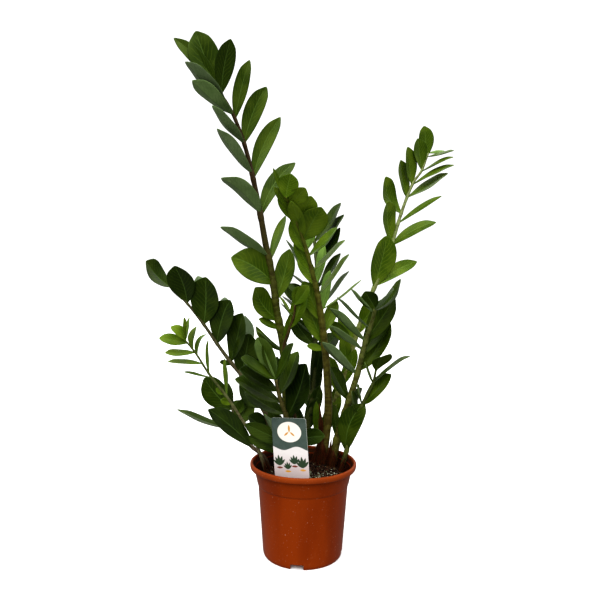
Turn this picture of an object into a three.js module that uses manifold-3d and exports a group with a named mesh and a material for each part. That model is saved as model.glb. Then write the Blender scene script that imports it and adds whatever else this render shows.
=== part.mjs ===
// A potted ZZ plant (Zamioculcas): a plastic nursery pot filled with soil, eleven fronds that stand
// in the soil, and a plain plant label. Millimetres, +Z up, the front of the plant looks along -Y.
// The origin is the middle of the pot's underside.
import * as THREE from "three";
import { mergeVertices } from "three/addons/utils/BufferGeometryUtils.js";
import Module from "manifold-3d";

const wasm = await Module();
wasm.setup();

// ---- Driving dimensions ----------------------------------------------------------------------
const POT_HEIGHT = 146.5;
const POT_SIDES = 30;
const POT_RIM_RADIUS = 85;
const POT_FOOT_RADIUS = 61.4;
const POT_WALL = 1.6;
const POT_FLOOR_TOP = 11;
const POT_FLOOR_THICK = 2;
const DISC_RADIUS = 16; // the flat middle of the underside, which stands on the table with the foot
const BODY_HEIGHT = 4.5; // where the rounded foot ends and the tapered body begins
const BODY_RADIUS = 63.4;
const STEP_HEIGHT = 112;
const STEP_RADIUS = 71.6;
const NECK_HEIGHT = 137;
const NECK_RADIUS = 77.8;
const NOTCHES = 4;
const NOTCH_WIDTH = 20;
const NOTCH_HEIGHT = 8.5;
const NOTCH_DEPTH = 24;
const NOTCH_TURN = -0.14; // radians that the first notch stands to the left of the front
const DRAINS = 6;
const DRAIN_SIDES = 8;
const DRAIN_RADIUS = 5;
const DRAIN_CIRCLE = 40;

const GAP = 0.4;
const HOLE_GAP = 0.5;
const HOLE_SINK = 2;
const SOIL_EDGE = 121;
const SOIL_CROWN = 8;
const SOIL_LUMP = 1.1;
const SOIL_RINGS = 2;

const LABEL_WIDTH = 57;
const LABEL_THICK = 0.9;
const LABEL_TOP = 229;
const LABEL_SHOULDER = 142;
const LABEL_SLOPE = 16;
const LABEL_POINT = 98;
const LABEL_STAKE = 15;
const LABEL_CORNER = 3;
const LABEL_PLACE = new THREE.Vector3(-17, -60, 0);
const LABEL_TURN = -24;
const LABEL_LEAN = 4.5;

const STEM_SIDES = 6;
const BLADE_THICK = 1.2;
const FOLD = 0.26; // rise of a blade's edge above its midrib, per unit of half breadth
const SAG = 0.05; // drop of a blade's middle below the line from root to tip, per unit of length
// Places along the midrib where a blade has a station, for blades at least so long.
const STATIONS = [
  { length: 85, places: [0.13, 0.36, 0.62, 0.85] },
  { length: 50, places: [0.18, 0.5, 0.8] },
  { length: 0, places: [0.3, 0.7] },
];
const BASE_TAPER = 0.88;
const TIP_TAPER = 0.62;
// At roll 0 a blade's upper face looks at the front and a little down.
const FACING = new THREE.Vector3(0, -0.87, -0.5).normalize();

// The fronds are laid out as they are seen from here, and then lean along the lines of sight.
const VIEWPOINT = new THREE.Vector3(-7, -887, 432);
const LEAN_GROWTH = 1.4;

// ---- The fronds ------------------------------------------------------------------------------
// lean: how far the tip stands behind the points listed, or before them if negative.
// stem: the points that the stem follows, from its foot in the soil to its tip.
// radius: the stem's radius at its foot, half way and at its tip.
// leaflets, one row each: the place on the stem, counted in its points; the reach from root to tip
// (right, back, up); the breadth; the roll about the midrib in degrees; and, where there is one, the
// bend: how far the middle of the midrib stands to the right of the line from root to tip, seen
// from the front looking along it, per unit of length.
const FRONDS = {
  frond_tall_left: {
    colour: 0x2c4d12,
    lean: -30,
    stem: [
      [-22, 28, 100], [-29, 28, 262], [-33, 26, 319], [-44, 24, 381], [-53, 20, 443], [-63, 16, 490],
      [-71, 12, 535], [-83, 6, 594], [-97, 0, 648], [-114, -4, 692], [-132, -8, 722],
    ],
    radius: [7.5, 5, 2],
    leaflets: [
      [10, -39, -10, 93, 47, 12],
      [10, -73, -8, 83, 23, 15, 0.08],
      [10, 18, -30, 72, 30, 14, -0.03],
      [9.6, -54, -42, 47, 44, 131],
      [9, -56, -40, 39, 42, 138],
      [8.83, 23, -20, 84, 26, -25, -0.035],
      [8, 35, -10, 86, 30, -15, -0.06],
      [8, -43, -45, 46, 38, 130],
      [7, 42, 10, 101, 27, -12, -0.08],
      [7.15, -47, -45, 60, 39, 134],
      [6.1, -55, -45, 50, 45, 143, 0.09],
      [6, 54, 25, 94, 27, -30, -0.1],
      [4.6, -71, -40, 45, 43, 138, 0.02],
      [4.4, 24, 30, 80, 17, -40, -0.05],
      [3.75, -63, -38, 41, 53, 52, 0.1],
      [3.31, 22, 5, 85, 33, -25, 0.02],
      [2.8, -36, -30, 54, 38, 51, -0.08],
      [2.6, -33, -20, 17, 16, 75],
      [2, -41, -25, 37, 18, 112],
      [1.97, -45, -20, 42, 13, 0, -0.1],
      [0.3, -38, -10, 66, 18, 150],
    ],
  },
  frond_middle_front: {
    colour: 0x4a7a14,
    lean: -55,
    stem: [
      [28, 51, 100], [41, 48, 205], [39, 38, 276], [32, 26, 342], [22, 12, 405], [10, 0, 454],
      [-3, -14, 497], [-14, -26, 525], [-24, -36, 548], [-31, -43, 559],
    ],
    radius: [8.4, 3.7, 1],
    leaflets: [
      [8.7, -18, -34, 39, 8, 35],
      [8.9, 8, -20, 32, 31, 0],
      [8, 23, -28, 21, 27, 0],
      [6.8, 20, -33, 38, 35, 10],
      [5.99, 26, -40, 46, 43, 5],
      [7.6, -26, -34, 30, 12, 30],
      [6.9, -28, -34, 31, 14, 30],
      [5.5, -26, -20, 48, 19, 20, -0.04],
      [4.9, -26, -20, 50, 19, 20, -0.06],
      [4.4, -27, 14, 49, 23, 25],
      [3.4, -31, -6, 65, 31, 25],
      [5.4, 43, -25, 43, 28, -82],
      [4.9, 49, -20, 49, 26, -94],
      [4.1, 47, -15, 67, 29, -94],
      [5.6, 14, 14, 58, 22, -150],
      [4.4, 14, 16, 66, 20, -150],
      [3.6, 14, 16, 70, 21, -150],
      [3.69, 70, 40, 51, 9, -105],
      [2.8, -36, -12, 78, 33, 20],
      [2.7, -30, -12, 6, 13, 60],
      [7.4, 10, -20, 26, 28, 20],
      [6.01, -19, -52, 51, 24, -15],
      [7.24, -16, -34, 46, 17, -15],
      [3.09, 22, 10, 55, 21, -20],
    ],
  },
  frond_right_arch: {
    colour: 0x3f7016,
    lean: 45,
    stem: [
      [11, 60, 100], [38, 68, 176], [76, 84, 286], [96, 88, 355], [122, 92, 422], [149, 94, 489],
      [168, 94, 553], [186, 92, 602], [202, 90, 627], [212, 88, 656],
    ],
    radius: [5.8, 3.6, 1.6],
    leaflets: [
      [8.8, -7, -10, 50, 28, 15],
      [8.8, 41, -20, 7, 20, -102],
      [8, -10, -15, 51, 31, 37],
      [7.9, 49, -24, 22, 22, -101, -0.05],
      [7, -11, -20, 61, 34, 47],
      [7, 65, -24, 32, 24, -94, -0.06],
      [6.5, -14, -15, 62, 41, 58],
      [6.5, 65, -20, 41, 34, -90],
      [6, -30, -25, 59, 39, 54, -0.1],
      [5.7, 70, -20, 47, 12, -65, -0.06],
      [5.2, -12, -30, 67, 43, 53, -0.03],
      [5.1, 74, -15, 42, 22, -60, -0.09],
      [4, 18, -25, 89, 48, 20, 0.03],
      [4.05, 77, 18, 45, 25, -50, -0.06],
      [3, 29, -22, 47, 32, -30],
      [2.6, -29, -10, 43, 28, 50],
      [9, 31, 10, 6, 8, 115],
      [2.75, 29, -12, 54, 26, -77],
      [1.57, -16, -14, 65, 24, 25],
      [0.81, 33, 6, 77, 17, 0],
      [1.63, 27, -4, 70, 21, -20],
      [2.47, -44, -26, 43, 24, 30],
      [2.02, -9, -10, 52, 21, 10],
      [0.65, -6, -4, 81, 15, 0],
      [0.83, 18, 4, 65, 18, 0],
      [1.02, 27, 24, 86, 16, 0],
    ],
  },
  frond_left_arch: {
    colour: 0x1d3a10,
    lean: 45,
    stem: [
      [-36, 50, 100], [-60, 54, 198], [-91, 54, 255], [-124, 52, 297], [-146, 48, 328],
      [-167, 42, 360], [-193, 34, 395], [-219, 26, 422],
    ],
    radius: [5, 3.2, 1.8],
    leaflets: [
      [7, -31, -30, 41, 40, 77, -0.04],
      [6, -15, -28, 60, 46, -11, 0.03],
      [5, 6, -25, 78, 54, -20],
      [5, -14, 28, 80, 42, 163],
      [4, 24, -25, 73, 52, -41, -0.06],
      [4, 10, 28, 76, 42, 148],
      [3, 22, -28, 83, 46, -50],
      [3, 23, 28, 75, 42, 135, 0.08],
      [2.4, 14, -15, 72, 44, -10],
      [2.9, -19, -10, 4, 13, 85],
      [1.9, 20, 20, 66, 42, -40],
      [1.3, -38, -16, 42, 38, 65],
      [0.7, -38, -20, 38, 36, 70],
    ],
  },
  frond_young_left: {
    colour: 0x5d8c22,
    lean: -35,
    stem: [
      [-51, 8, 100], [-76, 0, 174], [-101, -8, 219], [-121, -16, 252], [-147, -24, 288],
      [-166, -30, 320], [-182, -34, 341],
    ],
    radius: [2.8, 2, 1.1],
    leaflets: [
      [6, 1, -8, 36, 11, 73],
      [6, 3, 10, 35, 18, -65],
      [6, -20, -10, 22, 18, 66, 0.17],
      [5.8, -41, -10, 9, 20, 70, 0.02],
      [5.1, -43, -14, 1, 19, 94],
      [5.3, 3, 10, 35, 21, -56, -0.12],
      [4.5, -50, -14, 5, 19, 104, 0.04],
      [4.9, 11, 10, 33, 14, -65, -0.2],
      [3.85, -39, -20, 12, 15, 122, 0.03],
      [4, -4, 10, 52, 14, -55, -0.06],
      [3, -6, 10, 58, 15, -50],
      [3.1, -13, -5, 10, 11, 40],
      [2.6, -16, -12, 9, 12, 40],
    ],
  },
  frond_low_front: {
    colour: 0x25410f,
    lean: -15,
    stem: [
      [-10, -15, 100], [-18, -26, 187], [-26, -36, 224], [-34, -46, 249], [-39, -54, 269],
      [-42, -61, 287],
    ],
    radius: [5, 3.4, 2],
    leaflets: [
      [5, -49, -25, 36, 36, 99],
      [5, 24, -20, 57, 30, -75],
      [4.8, -22, 25, 53, 34, 86],
      [4, -54, -25, 37, 42, 93],
      [3, -67, -20, 41, 44, 95],
      [3.6, 26, 10, 66, 34, -63],
      [2, 28, -35, 88, 50, -56],
      [1, 50, -18, 12, 26, -60],
      [0.6, -43, -12, 73, 32, 141],
      [2.2, -63, 6, 34, 38, 87],
      [0.82, -75, 0, 36, 25, 30],
      [5, -31, 30, 60, 27, 20],
      [0.66, -74, 12, 25, 23, 25],
      [0.73, -41, 22, 64, 23, 15],
      [3.4, -6, 22, 60, 15, 0],
    ],
  },
  frond_right_front: {
    colour: 0x24450f,
    lean: -50,
    stem: [
      [43, 42, 100], [58, 46, 172], [71, 42, 219], [87, 36, 274], [98, 28, 326], [110, 20, 369],
      [114, 16, 390],
    ],
    radius: [7, 4.8, 2.4],
    leaflets: [
      [6, -18, -10, 27, 29, 0],
      [5.8, 37, -15, 53, 28, -83, 0.12],
      [5.9, 22, -40, 34, 36, -119],
      [5.6, -39, -14, 40, 16, 130],
      [4.7, -54, -14, 52, 18, 127],
      [4.2, -58, -14, 57, 30, 137],
      [3.9, -56, -20, 42, 28, 137],
      [3.1, -58, -16, 57, 30, 146],
      [4.2, 43, -20, 72, 44, -54],
      [3.2, 49, -18, 82, 35, -59, 0.02],
      [2.3, -31, -20, 59, 30, 61],
      [1.9, 28, 20, 40, 32, -97],
      [3.7, 43, 4, 82, 38, -55],
      [0.93, -5, 12, 57, 14, 10],
    ],
  },
  frond_low_right: {
    colour: 0x2c5212,
    lean: -20,
    stem: [
      [57, 26, 100], [80, 26, 186], [94, 22, 228], [111, 16, 266], [116, 12, 290],
    ],
    radius: [4, 2.8, 1.6],
    leaflets: [
      [4, 19, -30, 30, 27, 15, -0.14],
      [3.1, -14, -10, 36, 19, 87],
      [3.1, 55, -20, 49, 28, -113, -0.08],
      [2.1, 42, -24, 55, 34, -78, -0.04],
      [2.1, -9, -10, 36, 23, 89],
      [1.7, -12, -15, 40, 22, 69],
      [0.58, 27, -14, 84, 38, -30, -0.15],
      [0.6, 14, 30, 56, 22, 0],
    ],
  },
  frond_middle_back: {
    colour: 0x1c3611,
    lean: 40,
    stem: [
      [-8, 60, 100], [13, 72, 229], [19, 82, 314], [23, 90, 383], [22, 96, 444], [18, 102, 497],
      [13, 106, 538],
    ],
    radius: [5.4, 4, 2],
    leaflets: [
      [6, -16, 8, 46, 28, 60],
      [5.1, 43, -10, 70, 32, -72],
      [4.6, 46, -10, 74, 38, -86],
      [4.1, 39, -5, 78, 34, -75],
      [3.6, 38, -5, 63, 30, -81],
      [3, 52, -10, 70, 30, -100],
      [3.5, -53, 20, 94, 24, 119],
      [3.5, -48, 25, 34, 24, 118],
      [3, -57, 25, 45, 42, 69],
      [2.6, -60, 28, 51, 30, 115],
      [2.3, -62, 28, 60, 28, 118],
      [1.1, 3, -15, 86, 36, 70],
      [1.8, 40, 14, 44, 38, -70],
      [0.51, 25, 4, 85, 25, 0],
      [2.09, -41, 12, 51, 27, 15, -0.05],
      [0.85, -12, 16, 73, 24, 0],
      [1, 17, 6, 92, 21, 15],
      [0.63, 21, 10, 26, 28, 20],
      [0.54, -29, 6, 52, 23, 10],
      [0.73, 17, -2, 36, 18, 10],
      [0.75, 22, 20, 85, 16, 0],
    ],
  },
  frond_low_left: {
    colour: 0x1f3b10,
    lean: 10,
    stem: [
      [-52, 26, 100], [-61, 26, 138], [-82, 26, 158], [-99, 30, 171], [-110, 36, 193], [-118, 42, 217],
      [-125, 46, 236],
    ],
    radius: [3.4, 2.6, 1.8],
    leaflets: [
      [2, -73, -10, 66, 40, 76, 0.06],
      [3.7, -103, 5, 35, 20, 101, -0.01],
      [5.01, -46, -10, 55, 41, 35, -0.08],
      [5, -13, 6, 48, 26, 78],
      [4.6, 10, 8, 25, 28, -47],
      [4, 19, 10, 43, 34, -20],
    ],
  },
  frond_slender: {
    colour: 0x527e22,
    lean: 0,
    stem: [
      [8, 18, 100], [-19, 10, 241], [-32, 4, 320], [-25, -2, 353], [-17, -6, 377], [-15, -8, 396],
    ],
    radius: [3.2, 2.4, 1.4],
    leaflets: [
      [3.2, 24, -15, 57, 34, -55],
      [3, 5, -5, 31, 13, 30],
      [5, 20, -20, 30, 22, -35],
      [5, 5, -5, 29, 16, 10],
      [4, -22, 8, 32, 16, 99],
      [2.14, 9, -10, 51, 11, -10],
    ],
  },
};

// ---- Solids ----------------------------------------------------------------------------------
// A closed geometry becomes a solid that can be joined and cut.
function toSolid(geometry) {
  const bare = geometry.clone();
  bare.deleteAttribute("normal");
  bare.deleteAttribute("uv");
  const merged = mergeVertices(bare, 1e-4);
  return new wasm.Manifold(
    new wasm.Mesh({
      numProp: 3,
      vertProperties: new Float32Array(merged.attributes.position.array),
      triVerts: new Uint32Array(merged.index.array),
    }),
  );
}

function toGeometry(solid) {
  const mesh = solid.getMesh();
  const geometry = new THREE.BufferGeometry();
  geometry.setAttribute("position", new THREE.BufferAttribute(new Float32Array(mesh.vertProperties), 3));
  geometry.setIndex(new THREE.BufferAttribute(new Uint32Array(mesh.triVerts), 1));
  geometry.computeVertexNormals();
  return geometry;
}

function named(name, geometry, colour, roughness) {
  const material = new THREE.MeshStandardMaterial({ color: colour, roughness, metalness: 0 });
  const mesh = new THREE.Mesh(geometry, material);
  mesh.name = name;
  return mesh;
}

// Quads between rows of equal length, then the two ends closed by a fan. All rows run anticlockwise
// as seen from the end that the body grows towards.
function loft(rows) {
  const count = rows[0].length;
  const last = rows.length - 1;
  const index = [];
  for (let i = 0; i < last; i++) {
    for (let j = 0; j < count; j++) {
      const k = (j + 1) % count;
      index.push(i * count + j, i * count + k, (i + 1) * count + k);
      index.push(i * count + j, (i + 1) * count + k, (i + 1) * count + j);
    }
  }
  for (let j = 1; j < count - 1; j++) {
    index.push(0, j + 1, j);
    index.push(last * count, last * count + j, last * count + j + 1);
  }
  const geometry = new THREE.BufferGeometry().setFromPoints(rows.flat());
  geometry.setIndex(index);
  return geometry;
}

// ---- Stems -----------------------------------------------------------------------------------
// How far the frond has left its listed points, part way from foot to tip.
function leanAt(frond, part) {
  return frond.lean * part ** LEAN_GROWTH;
}

// The points listed, each moved along its line of sight by the frond's lean there.
function stemPoints(frond) {
  const steps = frond.stem.length - 1;
  return frond.stem.map((place, i) => {
    const point = new THREE.Vector3(...place);
    const sight = point.clone().sub(VIEWPOINT);
    return point.addScaledVector(sight, leanAt(frond, i / steps) / sight.y);
  });
}

function stemCurve(points) {
  return new THREE.CatmullRomCurve3(points, false, "catmullrom", 0.5);
}

// One radius for each point: it runs evenly from foot to middle and from middle to tip.
function stemRadii(frond) {
  const [foot, middle, tip] = frond.radius;
  const steps = frond.stem.length - 1;
  return frond.stem.map((_, i) => {
    const part = (2 * i) / steps;
    return part < 1 ? foot + (middle - foot) * part : middle + (tip - middle) * (part - 1);
  });
}

// Rings square to the stem's course, each as wide as the stem is there plus the given margin.
function stemSolid(points, radii, margin, sink) {
  const curve = stemCurve(points);
  const rings = radii.map((radius, i) => {
    const part = i / (radii.length - 1);
    const centre = curve.getPoint(part);
    const along = curve.getTangent(part);
    if (i === 0) centre.addScaledVector(along, -sink);
    const side = new THREE.Vector3(0, 1, 0).cross(along).normalize();
    const front = new THREE.Vector3().crossVectors(along, side);
    const ring = [];
    for (let j = 0; j < STEM_SIDES; j++) {
      const angle = (2 * Math.PI * j) / STEM_SIDES;
      const out = side.clone().multiplyScalar(Math.cos(angle)).addScaledVector(front, Math.sin(angle));
      ring.push(centre.clone().addScaledVector(out, radius + margin));
    }
    return ring;
  });
  return toSolid(loft(rings));
}

// ---- Leaflets --------------------------------------------------------------------------------
// Half of the breadth at a place along the midrib: t^a (1-t)^b over its largest value.
function outline(t) {
  const widest = BASE_TAPER / (BASE_TAPER + TIP_TAPER);
  const top = widest ** BASE_TAPER * (1 - widest) ** TIP_TAPER;
  return (t ** BASE_TAPER * (1 - t) ** TIP_TAPER) / top;
}

// A thin arched blade, folded along its midrib, with the same triangles on both faces. It starts from
// a point in the stem and ends in a point; each station between holds left edge, midrib and right edge.
// The bend moves the stations sideways, most in the middle.
function leafletSolid(root, reach, breadth, roll, bend) {
  const length = reach.length();
  const along = reach.clone().normalize();
  const face = FACING.clone().addScaledVector(along, -FACING.dot(along)).normalize();
  const crossing = new THREE.Vector3().crossVectors(along, face);
  face.applyAxisAngle(along, THREE.MathUtils.degToRad(roll));
  const across = new THREE.Vector3().crossVectors(along, face);
  const upper = [];
  const lower = [];
  const put = (t, side) => {
    const half = (breadth / 2) * outline(t);
    const arch = length * 4 * t * (1 - t);
    const point = root.clone().addScaledVector(reach, t).addScaledVector(crossing, bend * arch);
    point.addScaledVector(face, FOLD * Math.abs(side) * half - SAG * arch);
    point.addScaledVector(across, side * half);
    upper.push(point.clone().addScaledVector(face, BLADE_THICK / 2));
    lower.push(point.clone().addScaledVector(face, -BLADE_THICK / 2));
  };
  const { places } = STATIONS.find((row) => length >= row.length);
  for (const t of places) {
    for (const side of [-1, 0, 1]) put(t, side);
  }
  put(0, 0);
  put(1, 0);
  const stem = places.length * 3;
  const tip = stem + 1;
  const under = stem + 2;
  const index = [];
  // A triangle of the upper face and its twin below, which runs the other way.
  const both = (a, b, c) => index.push(a, b, c, a + under, c + under, b + under);
  // The wall between two neighbouring points of the rim.
  const wall = (a, b) => index.push(a, b + under, b, a, a + under, b + under);
  both(stem, 1, 0);
  both(stem, 2, 1);
  wall(0, stem);
  wall(stem, 2);
  for (let row = 0; row < stem - 3; row += 3) {
    for (const j of [row, row + 1]) {
      both(j, j + 1, j + 4);
      both(j, j + 4, j + 3);
    }
    wall(row + 3, row);
    wall(row + 2, row + 5);
  }
  both(stem - 3, stem - 2, tip);
  both(stem - 2, stem - 1, tip);
  wall(tip, stem - 3);
  wall(stem - 1, tip);
  const geometry = new THREE.BufferGeometry().setFromPoints([...upper, ...lower]);
  geometry.setIndex(index);
  return toSolid(geometry);
}

// A leaflet that leans away from the viewpoint is larger by as much, so that it looks its listed size.
function frondMesh(name, frond) {
  const points = stemPoints(frond);
  const curve = stemCurve(points);
  let solid = stemSolid(points, stemRadii(frond), 0, 0);
  for (const [place, right, back, up, breadth, roll, bend = 0] of frond.leaflets) {
    const part = place / (points.length - 1);
    const root = curve.getPoint(part);
    const distance = root.y - VIEWPOINT.y;
    const scale = distance / (distance - leanAt(frond, part));
    const reach = new THREE.Vector3(right, back, up).multiplyScalar(scale);
    solid = solid.add(leafletSolid(root, reach, breadth * scale, roll, bend));
  }
  return named(name, toGeometry(solid), frond.colour, 0.35);
}

// ---- Pot -------------------------------------------------------------------------------------
// The profile is turned about the pot's axis; it starts and ends on that axis.
function turned(profile) {
  const geometry = new THREE.LatheGeometry(
    profile.map(([radius, height]) => new THREE.Vector2(radius, height)),
    POT_SIDES,
  );
  return geometry.rotateX(Math.PI / 2);
}

// The radius of the tapered body's inside at a height.
function insideAt(height) {
  const slope = (STEP_RADIUS - BODY_RADIUS) / (STEP_HEIGHT - BODY_HEIGHT);
  return BODY_RADIUS + slope * (height - BODY_HEIGHT) - POT_WALL;
}

// The underside is raised between its middle disc and the foot ring, and the rim is rolled outwards.
function potMesh() {
  const underside = POT_FLOOR_TOP - POT_FLOOR_THICK;
  const profile = [
    [0, 0],
    [DISC_RADIUS, 0],
    [DISC_RADIUS + 1, underside],
    [POT_FOOT_RADIUS - 1.6, underside],
    [POT_FOOT_RADIUS - 1.2, 0],
    [POT_FOOT_RADIUS, 0],
    [POT_FOOT_RADIUS + 1.4, 1.4],
    [BODY_RADIUS, BODY_HEIGHT],
    [STEP_RADIUS, STEP_HEIGHT],
    [STEP_RADIUS + 1, STEP_HEIGHT + 1.6],
    [NECK_RADIUS - 1.2, NECK_HEIGHT - 7],
    [NECK_RADIUS, NECK_HEIGHT],
    [POT_RIM_RADIUS - 1.6, NECK_HEIGHT + 0.6],
    [POT_RIM_RADIUS - 0.2, NECK_HEIGHT + 2.4],
    [POT_RIM_RADIUS, POT_HEIGHT - 3.6],
    [POT_RIM_RADIUS - 1.1, POT_HEIGHT - 0.9],
    [POT_RIM_RADIUS - 2.8, POT_HEIGHT],
    [POT_RIM_RADIUS - 4.6, POT_HEIGHT - 1.4],
    [POT_RIM_RADIUS - 5.6, POT_HEIGHT - 5],
    [NECK_RADIUS - POT_WALL, NECK_HEIGHT - 0.6],
    [STEP_RADIUS + 1 - POT_WALL, STEP_HEIGHT + 2],
    [insideAt(STEP_HEIGHT - 1), STEP_HEIGHT - 1],
    [insideAt(POT_FLOOR_TOP), POT_FLOOR_TOP],
    [0, POT_FLOOR_TOP],
  ];
  let solid = toSolid(turned(profile));
  for (let i = 0; i < NOTCHES; i++) {
    const notch = new THREE.BoxGeometry(NOTCH_WIDTH, NOTCH_DEPTH, NOTCH_HEIGHT * 2);
    notch.translate(0, -POT_FOOT_RADIUS, 0);
    notch.rotateZ((2 * Math.PI * i) / NOTCHES + NOTCH_TURN);
    solid = solid.subtract(toSolid(notch));
  }
  for (let i = 0; i < DRAINS; i++) {
    const drain = new THREE.CylinderGeometry(DRAIN_RADIUS, DRAIN_RADIUS, POT_FLOOR_TOP * 2, DRAIN_SIDES);
    drain.rotateX(Math.PI / 2);
    const angle = (2 * Math.PI * (i + 0.5)) / DRAINS;
    drain.translate(DRAIN_CIRCLE * Math.cos(angle), DRAIN_CIRCLE * Math.sin(angle), POT_FLOOR_TOP);
    solid = solid.subtract(toSolid(drain));
  }
  return named("pot", toGeometry(solid), 0x9c3a12, 0.45);
}

// ---- Soil ------------------------------------------------------------------------------------
// Highest round the stems, lower at the wall, with small lumps.
function soilHeight(x, y) {
  const radius = Math.hypot(x, y) / STEP_RADIUS;
  const crown = SOIL_CROWN * (1 - radius * radius);
  const lumps = Math.sin(x * 0.21 + 1) * Math.cos(y * 0.17) + 0.8 * Math.sin(x * 0.09 - y * 0.13 + 2);
  return SOIL_EDGE + crown + SOIL_LUMP * lumps;
}

// It fills the pot with a gap all round, and the stems and the label stand in plain holes in it.
function soilMesh() {
  const floor = POT_FLOOR_TOP + GAP;
  const shoulder = STEP_HEIGHT - 1;
  const top = STEP_RADIUS + 1 - POT_WALL;
  const profile = [
    [0, floor],
    [insideAt(POT_FLOOR_TOP) - GAP, floor],
    [insideAt(shoulder) - GAP, shoulder],
    [top, STEP_HEIGHT + 4],
  ];
  for (let i = 0; i <= SOIL_RINGS; i++) profile.push([top * (1 - i / SOIL_RINGS), SOIL_EDGE]);
  const geometry = turned(profile);
  const places = geometry.attributes.position;
  for (let i = 0; i < places.count; i++) {
    if (places.getZ(i) < SOIL_EDGE - 0.5) continue;
    places.setZ(i, soilHeight(places.getX(i), places.getY(i)));
  }
  let solid = toSolid(geometry);
  for (const frond of Object.values(FRONDS)) {
    const foot = stemSolid(stemPoints(frond).slice(0, 3), stemRadii(frond).slice(0, 3), HOLE_GAP, HOLE_SINK);
    solid = solid.subtract(foot);
  }
  solid = solid.subtract(toSolid(labelGeometry(GAP)));
  return named("soil", toGeometry(solid), 0x2b1d14, 0.95);
}

// ---- Plant label -----------------------------------------------------------------------------
// A flat card with rounded upper corners that narrows to a stake, turned and leaning in its place.
function labelGeometry(margin) {
  const half = LABEL_WIDTH / 2 + margin;
  const stake = LABEL_STAKE / 2 + margin;
  const top = LABEL_TOP + margin;
  const shape = new THREE.Shape();
  shape.moveTo(0, LABEL_POINT - margin * 2);
  shape.lineTo(stake, LABEL_POINT + LABEL_STAKE);
  shape.lineTo(stake, LABEL_SHOULDER - LABEL_SLOPE);
  shape.lineTo(half, LABEL_SHOULDER);
  shape.lineTo(half, top - LABEL_CORNER);
  shape.absarc(half - LABEL_CORNER, top - LABEL_CORNER, LABEL_CORNER, 0, Math.PI / 2);
  shape.absarc(LABEL_CORNER - half, top - LABEL_CORNER, LABEL_CORNER, Math.PI / 2, Math.PI);
  shape.lineTo(-half, LABEL_SHOULDER);
  shape.lineTo(-stake, LABEL_SHOULDER - LABEL_SLOPE);
  shape.lineTo(-stake, LABEL_POINT + LABEL_STAKE);
  const depth = LABEL_THICK + margin * 2;
  const card = new THREE.ExtrudeGeometry(shape, { depth, bevelEnabled: false, curveSegments: 3 });
  card.translate(0, -LABEL_SHOULDER, -depth / 2);
  card.rotateX(Math.PI / 2);
  card.rotateY(THREE.MathUtils.degToRad(-LABEL_LEAN));
  card.rotateZ(THREE.MathUtils.degToRad(LABEL_TURN));
  return card.translate(LABEL_PLACE.x, LABEL_PLACE.y, LABEL_SHOULDER);
}

// ---- The plant -------------------------------------------------------------------------------
const group = new THREE.Group();
group.add(potMesh());
group.add(soilMesh());
group.add(named("plant_label", labelGeometry(0), 0x2f4a44, 0.5));
for (const [name, frond] of Object.entries(FRONDS)) group.add(frondMesh(name, frond));

export default group;
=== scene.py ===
"""A potted ZZ plant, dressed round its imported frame.

Eleven fronds of glossy leaflets on fleshy stems stand in bark soil, in a moulded nursery pot with a
plain plant label. The tables of the fronds and the sizes of pot and label are in millimetres, as in
the model, and each surface is worked out in millimetres and put into its mesh in metres.
"""
import math

import bpy
import numpy as np
from mathutils import Matrix


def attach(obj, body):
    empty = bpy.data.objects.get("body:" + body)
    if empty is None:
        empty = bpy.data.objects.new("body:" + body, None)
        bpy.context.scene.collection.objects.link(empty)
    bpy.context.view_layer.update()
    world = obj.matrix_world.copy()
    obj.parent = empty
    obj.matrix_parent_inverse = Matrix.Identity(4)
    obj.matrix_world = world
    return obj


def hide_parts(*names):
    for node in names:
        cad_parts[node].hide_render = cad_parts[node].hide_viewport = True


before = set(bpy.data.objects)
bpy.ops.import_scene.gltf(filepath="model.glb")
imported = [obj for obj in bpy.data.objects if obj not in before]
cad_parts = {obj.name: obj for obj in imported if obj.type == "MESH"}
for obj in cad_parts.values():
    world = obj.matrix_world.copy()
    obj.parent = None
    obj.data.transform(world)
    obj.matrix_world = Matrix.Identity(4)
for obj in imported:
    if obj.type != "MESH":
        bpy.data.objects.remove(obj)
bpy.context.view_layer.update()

BODY = "root"
MM = 0.001
SEED = 7

# ---- Sizes of the model, in millimetres --------------------------------------------------------
POT_HEIGHT = 146.5
POT_RIM_RADIUS = 85
POT_FOOT_RADIUS = 61.4
POT_WALL = 1.6
POT_FLOOR_TOP = 11
POT_FLOOR_THICK = 2
DISC_RADIUS = 16
BODY_HEIGHT = 4.5
BODY_RADIUS = 63.4
STEP_HEIGHT = 112
STEP_RADIUS = 71.6
NECK_HEIGHT = 137
NECK_RADIUS = 77.8
NOTCHES = 4
NOTCH_WIDTH = 20
NOTCH_HEIGHT = 8.5
NOTCH_DEPTH = 24
NOTCH_TURN = -0.14
DRAINS = 6
DRAIN_RADIUS = 5
DRAIN_CIRCLE = 40
SOIL_EDGE = 121
SOIL_CROWN = 8
SOIL_GAP = 0.4
LABEL_WIDTH = 57
LABEL_THICK = 0.9
LABEL_TOP = 229
LABEL_SHOULDER = 142
LABEL_SLOPE = 16
LABEL_POINT = 98
LABEL_STAKE = 15
LABEL_CORNER = 3
LABEL_PLACE = (-17, -60)
LABEL_TURN = math.radians(-24)
LABEL_LEAN = math.radians(4.5)
FOLD = 0.26
SAG = 0.05
BASE_TAPER = 0.88
TIP_TAPER = 0.62
DRIP_START = 0.86
DRIP = 0.3
# The fronds' points were placed as they are seen from here, and a frond leans along lines from here.
VIEWPOINT = np.array([-7.0, -887.0, 432.0])
LEAN_GROWTH = 1.4

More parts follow.
